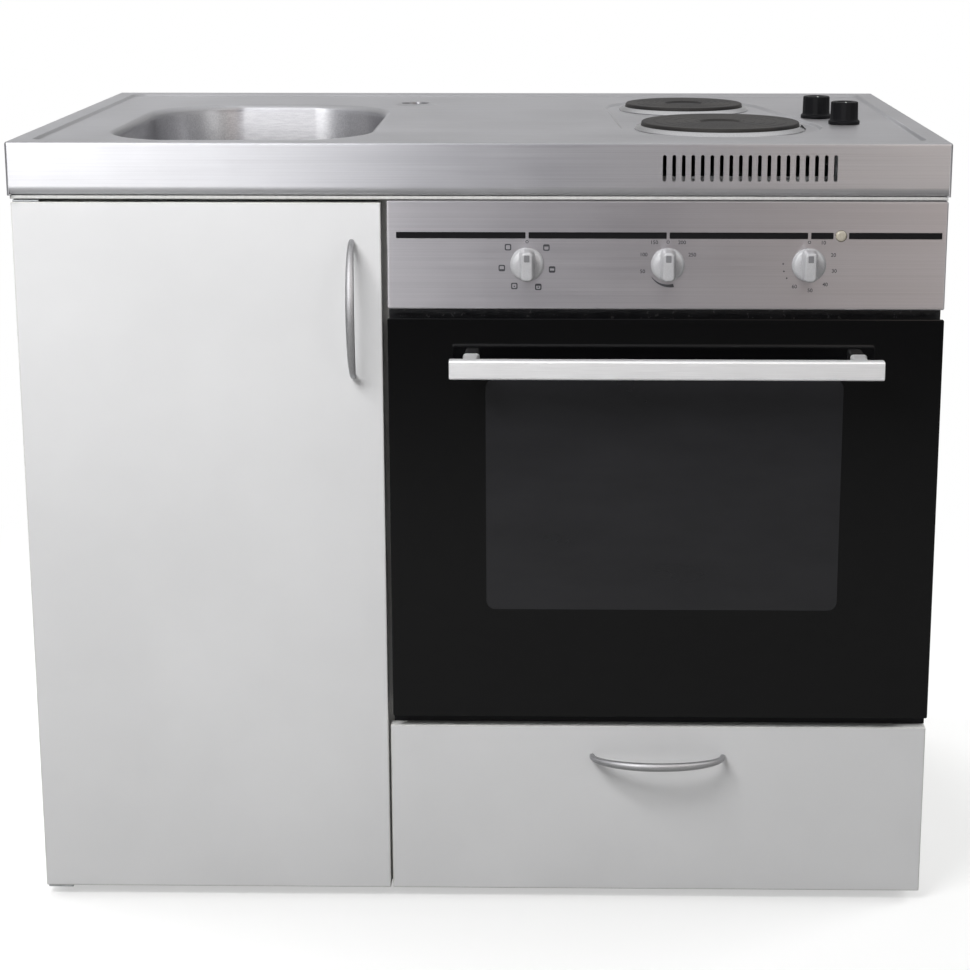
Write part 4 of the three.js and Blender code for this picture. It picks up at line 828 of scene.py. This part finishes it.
def buildBar():
    (x0, x1), z, front, r = (ovenDoor[key] for key in ("bar", "barZ", "barFront", "barRound"))
    back, half = front + ovenDoor["barDepth"], ovenDoor["barHeight"] / 2
    section = roundPath([(front, z - half, r), (back, z - half, r), (back, z + half, r), (front, z + half, r)],
                        closed=True, steps=6)
    middle = Vector(((front + back) / 2, z))
    ends = ovenDoor["barEnd"]
    shape = Shape()
    cuts = [(x0 + reach, grow) for reach, grow in ends] + [(x1 - reach, grow) for reach, grow in ends[::-1]]
    shape.solid([[(x, middle.x + (y - middle.x) * grow, middle.y + (w - middle.y) * grow) for y, w in section]
                 for x, grow in cuts])
    half, face, grow = ovenDoor["postWidth"] / 2, ovenDoor["face"], ovenDoor["postFoot"]
    for x in (x0 + ovenDoor["postInset"], x1 - ovenDoor["postInset"]):
        section = rectRing(x - half, x + half, z - half, z + half, ovenDoor["postRound"], 5)
        foot = [(x + (a - x) * grow, z + (b - z) * grow) for a, b in section]
        shape.solid([upright(outline, y) for outline, y in (
            (section, back - 1), (section, face - 4), (foot, face - 2), (foot, face - 0.3))])
    addPiece("oven_door_bar", shape, aluminium, "silver_handle", "oven_door", "oven_door_handle", sharpAngle=45)


buildGlass()
buildBar()
easedCopy("oven_door_frame", enamel, "oven_enamel", width=0.3)
easedCopy("oven_door_inner_glass", coatedGlass, "inner_glass", width=0.5)
report("oven door")

# Control panel

panel = {
    "left": -97.5, "right": 498.5, "bottom": 686, "top": 803, "face": 4, "rear": 26.2, "edgeRadius": 1.8,
    "corner": 2.2, "sheet": 1.2, "slitZ": (762.5, 769.5), "stemHole": 5,
    "slits": ((-87, 50.9), (54.1, 200.9), (204.1, 350.9), (354.1, 377.8), (394.2, 493)),
    "lamp": (386, 766, 6.3), "lampBack": 23,
    "lens": ((6, 0, 0), (6, 19.2, 1.4), (3.6, 19.9, 2), (0.4, 20, 0)),     # (radius, height, round)
    "knobs": {"selector_knob": ("oven_knob_left", 52.5), "thermostat_knob": ("oven_knob_centre", 202.5),
              "timer_knob": ("oven_knob_right", 352.5)},
    "knobZ": 735, "knobBack": 3.7, "stem": (3, -16.7),
    "skirt": ((3, 0, 0), (18, 0, 0.4), (18, 3.2, 1.2), (15.8, 5.2, 2.2), (11, 5.9, 3), (2, 6.1, 0)),
    "grip": (                        # (height over the back, half its width, half its length, corner)
        (4.6, 9.0, 17.0, 6.0), (5.6, 8.3, 16.9, 6.0), (7.5, 7.6, 16.7, 5.6), (12, 7.2, 16.4, 5.2),
        (16.5, 6.9, 16.0, 5.0), (18.6, 6.5, 15.6, 4.7), (19.5, 5.8, 14.9, 4.0), (19.9, 5.0, 14.1, 3.2),
        (20, 4.4, 13.4, 2.4)),
    "pointer": (2.9, 5.2, 12.6), "pointerDepth": (19.4, 20.06),
}


def buildPanel():
    face, corner = panel["face"], panel["corner"]
    shape = Shape()
    made = shape.skin([
        frontRing(panel, 0, corner, panel["rear"], 4),
        *(frontRing(panel, inset, corner - inset, face + drop, 4) for inset, drop in roundedEdge(
            panel["edgeRadius"], 15)),
        frontRing(panel, 4, 0.4, face, 4)])
    z0, z1 = panel["slitZ"]
    holes = [rectRing(x0, x1, z0, z1, 0.8, 3) for x0, x1 in panel["slits"]]
    holes.append(circle(*panel["lamp"], 40))
    holes += [circle(x, panel["knobZ"], panel["stemHole"], 20) for _, x in panel["knobs"].values()]
    shape.fill(made[-1], [shape.ring(upright(hole, face)) for hole in holes])
    addPiece("control_panel_sheet", shape, shadedPanelSteel, "stainless_steel", stands="control_panel",
             thickness=panel["sheet"])


def buildLamp():
    x, z, _ = panel["lamp"]
    profile = roundPath(panel["lens"])
    profile = [(0, 0), *profile, (0, profile[-1][1])]
    addPiece("pilot_lamp_lens", lathe(profile, (x, panel["lampBack"], z), "front", 40), lens, "lamp_lens",
             stands="pilot_lamp")


def buildOvenKnob(body, node, x):
    z, back, (stem, stemDepth) = panel["knobZ"], panel["knobBack"], panel["stem"]
    skirt = roundPath(panel["skirt"])
    shape = lathe([(0, stemDepth), (stem, stemDepth), *skirt, (0, skirt[-1][1])], (x, back, z), "front", 72)
    shape.solid([upright(rectRing(x - wide, x + wide, z - tall, z + tall, corner, 6), back - depth)
                 for depth, wide, tall, corner in panel["grip"]])
    addPiece(f"{node}_moulded", shape, silver, "silver_plastic", body, node, sharpAngle=40)
    wide, low, high = panel["pointer"]
    line = rectRing(x - wide, x + wide, z + low, z + high, 0.9, 4)
    mark = Shape()
    mark.solid([upright(line, back - depth) for depth in panel["pointerDepth"]])
    addPiece(f"{node}_pointer", mark, greyInlay, "black_plastic", body)


marks = {
    "reach": 27.3, "size": 7.0, "line": 1.3, "proud": 0.08,
    "programmes": (138, 41, 189, 348, 240, 296),      # degrees round the selector
    "temperatures": ((196, "50"), (158, "100"), (122, "150"), (58, "200"), (22, "250")),
    "minutes": ((58, "10"), (22, "20"), (346, "30"), (310, "40"), (274, "50"), (238, "60")),
    "digit": 5.6, "bold": 0.09, "digitReach": 27.9,
    "topMark": (24.2, 1.7, 1.0),                      # the ring over each knob: height, outer and inner radius
    "dots": (178, 195, 212), "dot": 0.9,              # the timer's
    "swell": (218, 286, 21.6, 22.0, 25.4),            # its angles, inner radius, outer radius at either end
}


def printed(name, outlines):     # flat printed outlines, each (outer, holes), a hair off the panel
    shape = Shape()
    front = panel["face"] - marks["proud"]
    for outer, holes in outlines:
        rim = shape.ring(upright(outer, front))
        gaps = [shape.ring(upright(hole, front)) for hole in holes]
        shape.fill(rim, gaps)
        for loop, path in [(rim, outer), *zip(gaps, holes)]:
            shape.bridge(loop, shape.ring(upright(path, panel["face"] - 0.01)))
    addPiece(name, shape, ink)


def boxMark(x, z, width, height):
    return rectRing(x - width / 2, x + width / 2, z - height / 2, z + height / 2, min(width, height) * 0.2, 2)


def programmeMark(x, z, kind):     # a framed square with bars for the heat above or below, as ovens show it
    size, line = marks["size"], marks["line"]
    bar, high = size - 2.6, size / 2 - 1.7
    parts = [(boxMark(x, z, size, size), [boxMark(x, z, size - 2 * line, size - 2 * line)])]
    if kind in (1, 3, 5):
        parts.append((boxMark(x, z + high, bar, line), []))
    if kind in (2, 3):
        parts.append((boxMark(x, z - high, bar, line), []))
    if kind in (4, 5):
        parts.append((circle(x, z - 0.3, 0.8, 12), []))
    return parts


def buildDigits(name, places, x):     # small upright figures, cut from Blender's own font
    bm = bmesh.new()
    for angle, text in places:
        curve = bpy.data.curves.new("figures", "FONT")
        curve.body, curve.size = text, marks["digit"] * mm
        curve.align_x, curve.align_y = "CENTER", "CENTER"
        curve.extrude, curve.offset = marks["proud"] / 2 * mm, marks["bold"] * mm
        label = addObject("figures", curve)
        a, b = polar((x, panel["knobZ"]), marks["digitReach"], angle)
        label.matrix_world = Matrix.Translation(at(a, panel["face"] - marks["proud"] / 2, b)) @ Matrix.Rotation(
            math.radians(90), 4, "X")
        bpy.context.view_layer.update()
        mesh = bpy.data.meshes.new_from_object(label.evaluated_get(bpy.context.evaluated_depsgraph_get()))
        mesh.transform(label.matrix_world)
        bpy.data.objects.remove(label)
        bm.from_mesh(mesh)
    mesh = bpy.data.meshes.new(name)
    bm.to_mesh(mesh)
    bm.free()
    finishPiece(name, mesh, ink)


def buildMarks():
    z, reach = panel["knobZ"], marks["reach"]
    selector, thermostat, timer = (x for _, x in panel["knobs"].values())
    outlines = []
    for kind, angle in enumerate(marks["programmes"]):
        outlines += programmeMark(*polar((selector, z), reach, angle), kind)
    printed("selector_marks", outlines)
    start, end, inside, thin, thick = marks["swell"]     # the arc that swells as the oven gets hotter
    steps = 24
    outer = [polar((thermostat, z), thin + (thick - thin) * i / steps, start + (end - start) * i / steps)
             for i in range(steps + 1)]
    printed("thermostat_arc", [(outer + arc((thermostat, z), inside, start, end, steps)[::-1], [])])
    high, outside, inside = marks["topMark"]
    for name, (_, x) in panel["knobs"].items():
        printed(f"{name}_top_mark", [(circle(x, z + high, outside, 24), [circle(x, z + high, inside, 20)])])
    buildDigits("thermostat_figures", marks["temperatures"], thermostat)
    buildDigits("timer_figures", marks["minutes"], timer)
    printed("timer_dots", [(circle(*polar((timer, z), reach, angle), marks["dot"], 16), [])
                           for angle in marks["dots"]])


buildPanel()
buildMarks()
buildLamp()
for bodyName, (knobNode, knobX) in panel["knobs"].items():
    buildOvenKnob(bodyName, knobNode, knobX)
easedCopy("panel_slit_strip", black, "black_plastic", width=0.15)
report("control panel")

# A white strip under the apron, which closes the joint over the door and the oven

strip = {"left": -498, "right": 498, "front": 6, "rear": 27.5, "bottom": 803.7, "top": 807.6, "round": 1.2}
section = rectRing(strip["front"], strip["rear"], strip["bottom"], strip["top"], strip["round"], 5)
stripShape = Shape()
stripShape.solid([[(x, y, z) for y, z in section] for x in (strip["left"], strip["right"])])
addPiece("apron_joint_strip", stripShape, band, "white_laminate", sharpAngle=50)

# What stays as it was built, with the edges of small parts eased where that shows

for material, slotName, width, *fittings in (     # width of the eased edge, in millimetres
        (white, "white_plastic", 0.6, "waste_trap"),
        (white, "white_plastic", 0.5, "hob_switch_front", "hob_switch_rear"),
        (black, "black_plastic", 0.3, "glide_front_left", "glide_front_right", "glide_rear_left",
         "glide_rear_right"),
        (zinc, "zinc_sheet", 0.3, "door_hinge_upper", "door_hinge_lower", "oven_hinge_left",
         "oven_hinge_right"),
        (black, "black_plastic", 0.5, "oven_lower_trim"), (seal, "door_seal", 1.5, "oven_door_gasket"),
        (iron, "hotplate_iron", 0, "oven_grill_element"), (chrome, "zinc_sheet", 0, "oven_wire_shelf")):
    for node in fittings:
        easedCopy(node, material, slotName, width=width)
for material, *fittings in (
        (zinc, "hob_undertray", "cabinet_runner_left", "cabinet_runner_right", "drawer_runner_left",
         "drawer_runner_right", "oven_casing", "oven_switch_carrier"), (enamel, "oven_cavity")):
    for node in fittings:
        nodes[node].data.materials.clear()
        nodes[node].data.materials.append(material)
report("fittings")

# Camera, light and floor

view = {
    "place": (90, -2200, 1108), "pitch": 12.46, "turn": 0.85, "lens": 77.7, "sensor": 36,
    "shiftX": -0.048, "shiftY": -0.12,
}
studio = {
    "ambient": 0.11,                 # world light on the surfaces
    "lamps": (                       # name, place and aim in metres, size, watts
        ("key", (-0.9, -1.5, 2.15), (-0.1, -0.25, 0.75), (1.2, 0.9), 50),
        ("fill", (1.6, -2.2, 1.3), (0.1, -0.2, 0.5), (1.0, 1.2), 5),
        ("rear", (-0.9, 2.4, 2.7), (0.0, 0.3, 0.5), (1.6, 1.4), 75),
        ("right", (2.7, 0.5, 2.0), (0.5, 0.0, 0.5), (1.4, 1.4), 55),
        ("left", (-2.7, 0.5, 2.0), (-0.5, 0.0, 0.5), (1.4, 1.4), 40),
        ("overhead", (0.15, 0.25, 2.5), (0.0, 0.0, 0.85), (1.8, 1.0), 10),
    ),
    "room": (                        # what gloss sees ahead of the unit, from its left to its right
        (0.0, "#68686A"), (0.24, "#6E6E70"), (0.32, "#FFFFFF"), (0.425, "#FFFFFF"), (0.445, "#B4B4B9"),
        (0.46, "#626267"), (0.485, "#5F5E63"), (0.51, "#5B5A60"), (0.53, "#605E60"), (0.555, "#7A726E"),
        (0.566, "#6C6766"), (0.58, "#A89D95"), (0.61, "#A8A09C"), (0.67, "#737270"), (1.0, "#686767")),
    "roomLevel": 5.0,
    "turns": (("Y", -0.5, 0.4, 0.42), ("Z", 0.3, 0.95, 0.8)),     # where it turns plain grey, behind and above
    "floorSize": 12, "floorFade": (0.45, 1.5), "floorWhite": 0.5,     # metres, and the share of white nearby
    "floorTones": ("#949493", "#9B9B9A", "#F4F4F3"),     # dark and light as lit, and as the camera sees it
    "floorGrain": 40, "floorRough": 0.85, "floorBump": 0.05, "floorBumpDepth": 0.2,     # grain and depth in mm
}


def buildCamera():
    data = bpy.data.cameras.new("camera")
    data.lens, data.sensor_width = view["lens"], view["sensor"]
    data.shift_x, data.shift_y = view["shiftX"], view["shiftY"]
    camera = addObject("camera", data)
    camera.location = at(*view["place"])
    camera.rotation_euler = (math.radians(90 - view["pitch"]), 0, math.radians(view["turn"]))
    bpy.context.scene.camera = camera


def buildStudio():
    for name, place, aim, (width, height), watts in studio["lamps"]:
        data = bpy.data.lights.new(name, "AREA")
        data.shape, data.size, data.size_y, data.energy = "RECTANGLE", width, height, watts
        lamp = addObject(name, data)
        lamp.location = place
        lamp.visible_glossy = name == "fill"     # the others light the boards and never show in gloss
        lamp.rotation_euler = (Vector(aim) - Vector(place)).to_track_quat("-Z", "Y").to_euler()

    world = bpy.data.worlds.new("studio")
    bpy.context.scene.world = world
    world.use_nodes = True
    tree = world.node_tree
    tree.nodes.clear()
    direction = addNode(tree, "SeparateXYZ", {0: addNode(tree, "TexCoord").outputs["Generated"]})
    side = addNode(tree, "MapRange", {"Value": direction.outputs["X"], "From Min": -1.0, "From Max": 1.0})
    ramp = addNode(tree, "ValToRGB", {"Fac": side})
    stops = ramp.color_ramp.elements
    for place, _ in studio["room"][1:-1]:
        stops.new(place)
    for stop, (place, shade) in zip(stops, studio["room"]):
        stop.position, stop.color = place, linear(shade)
    shown = addNode(tree, "VectorMath", {0: ramp, "Scale": studio["roomLevel"]}, operation="SCALE")
    for axis, start, end, level in studio["turns"]:
        turned = addNode(
            tree, "MapRange", {"Value": direction.outputs[axis], "From Min": start, "From Max": end},
            interpolation_type="SMOOTHSTEP")
        shown = addNode(tree, "Mix", {0: turned, 4: shown, 5: (level,) * 3}, data_type="VECTOR")
    camera, gloss = seenDirectly(tree)
    lit = addNode(tree, "Mix", {0: gloss, 4: (studio["ambient"],) * 3, 5: shown}, data_type="VECTOR")
    seen = addNode(tree, "Mix", {0: camera, 4: lit, 5: (1, 1, 1)}, data_type="VECTOR")
    addNode(tree, "OutputWorld", {"Surface": addNode(tree, "Background", {"Color": seen})})


def seenDirectly(tree):     # 1 for rays from the camera, and 1 for those that gloss or glass sends on
    path = addNode(tree, "LightPath")
    gloss = addNode(tree, "Math", {0: path.outputs["Is Glossy Ray"], 1: path.outputs["Is Transmission Ray"]},
                    operation="MAXIMUM")
    return path.outputs["Is Camera Ray"], gloss


def buildFloor():
    mesh = bpy.data.meshes.new("floor")
    size = studio["floorSize"]
    corners = [(-size, -size, 0), (size, -size, 0), (size, size, 0), (-size, size, 0)]
    mesh.from_pydata(corners, [], [(0, 1, 2, 3)])
    floor = addObject("floor", mesh)
    # A matt white floor that keeps the unit's shadow and runs into the white background further off
    material, tree, place = newMaterial("pale_floor")
    camera, _ = seenDirectly(tree)
    grain = layPatterns(tree, place, {"grain": {"size": studio["floorGrain"]}})["grain"]
    low, high = usualEnds
    share = addNode(tree, "MapRange", {"Value": grain, "From Min": low, "From Max": high})
    dark, light, seen = (linear(shade) for shade in studio["floorTones"])
    tone = addNode(tree, "Mix", {0: share, 6: dark, 7: light}, data_type="RGBA")
    shader = addNode(tree, "BsdfPrincipled", {
        "Base Color": addNode(tree, "Mix", {0: camera, 6: tone, 7: seen}, data_type="RGBA"),
        "Roughness": studio["floorRough"],
        "Normal": addNode(tree, "Bump", {
            "Height": grain, "Strength": studio["floorBump"], "Distance": studio["floorBumpDepth"] * mm})})
    away = addNode(tree, "VectorMath", {0: place}, operation="LENGTH")
    near, far = studio["floorFade"]
    fade = addNode(tree, "MapRange", {"Value": away, "From Min": near, "From Max": far},
                   interpolation_type="SMOOTHSTEP")
    paled = addNode(tree, "MapRange", {"Value": fade, "To Min": studio["floorWhite"]})
    part = addNode(tree, "Math", {0: paled, 1: camera}, operation="MULTIPLY")
    plain = addNode(tree, "Emission")
    addNode(tree, "OutputMaterial", {"Surface": addNode(tree, "MixShader", {0: part, 1: shader, 2: plain})})
    mesh.materials.append(material)


buildCamera()
buildStudio()
buildFloor()
bpy.context.scene.view_settings.view_transform = "Standard"
report("camera and studio")

bpy.context.view_layer.update()
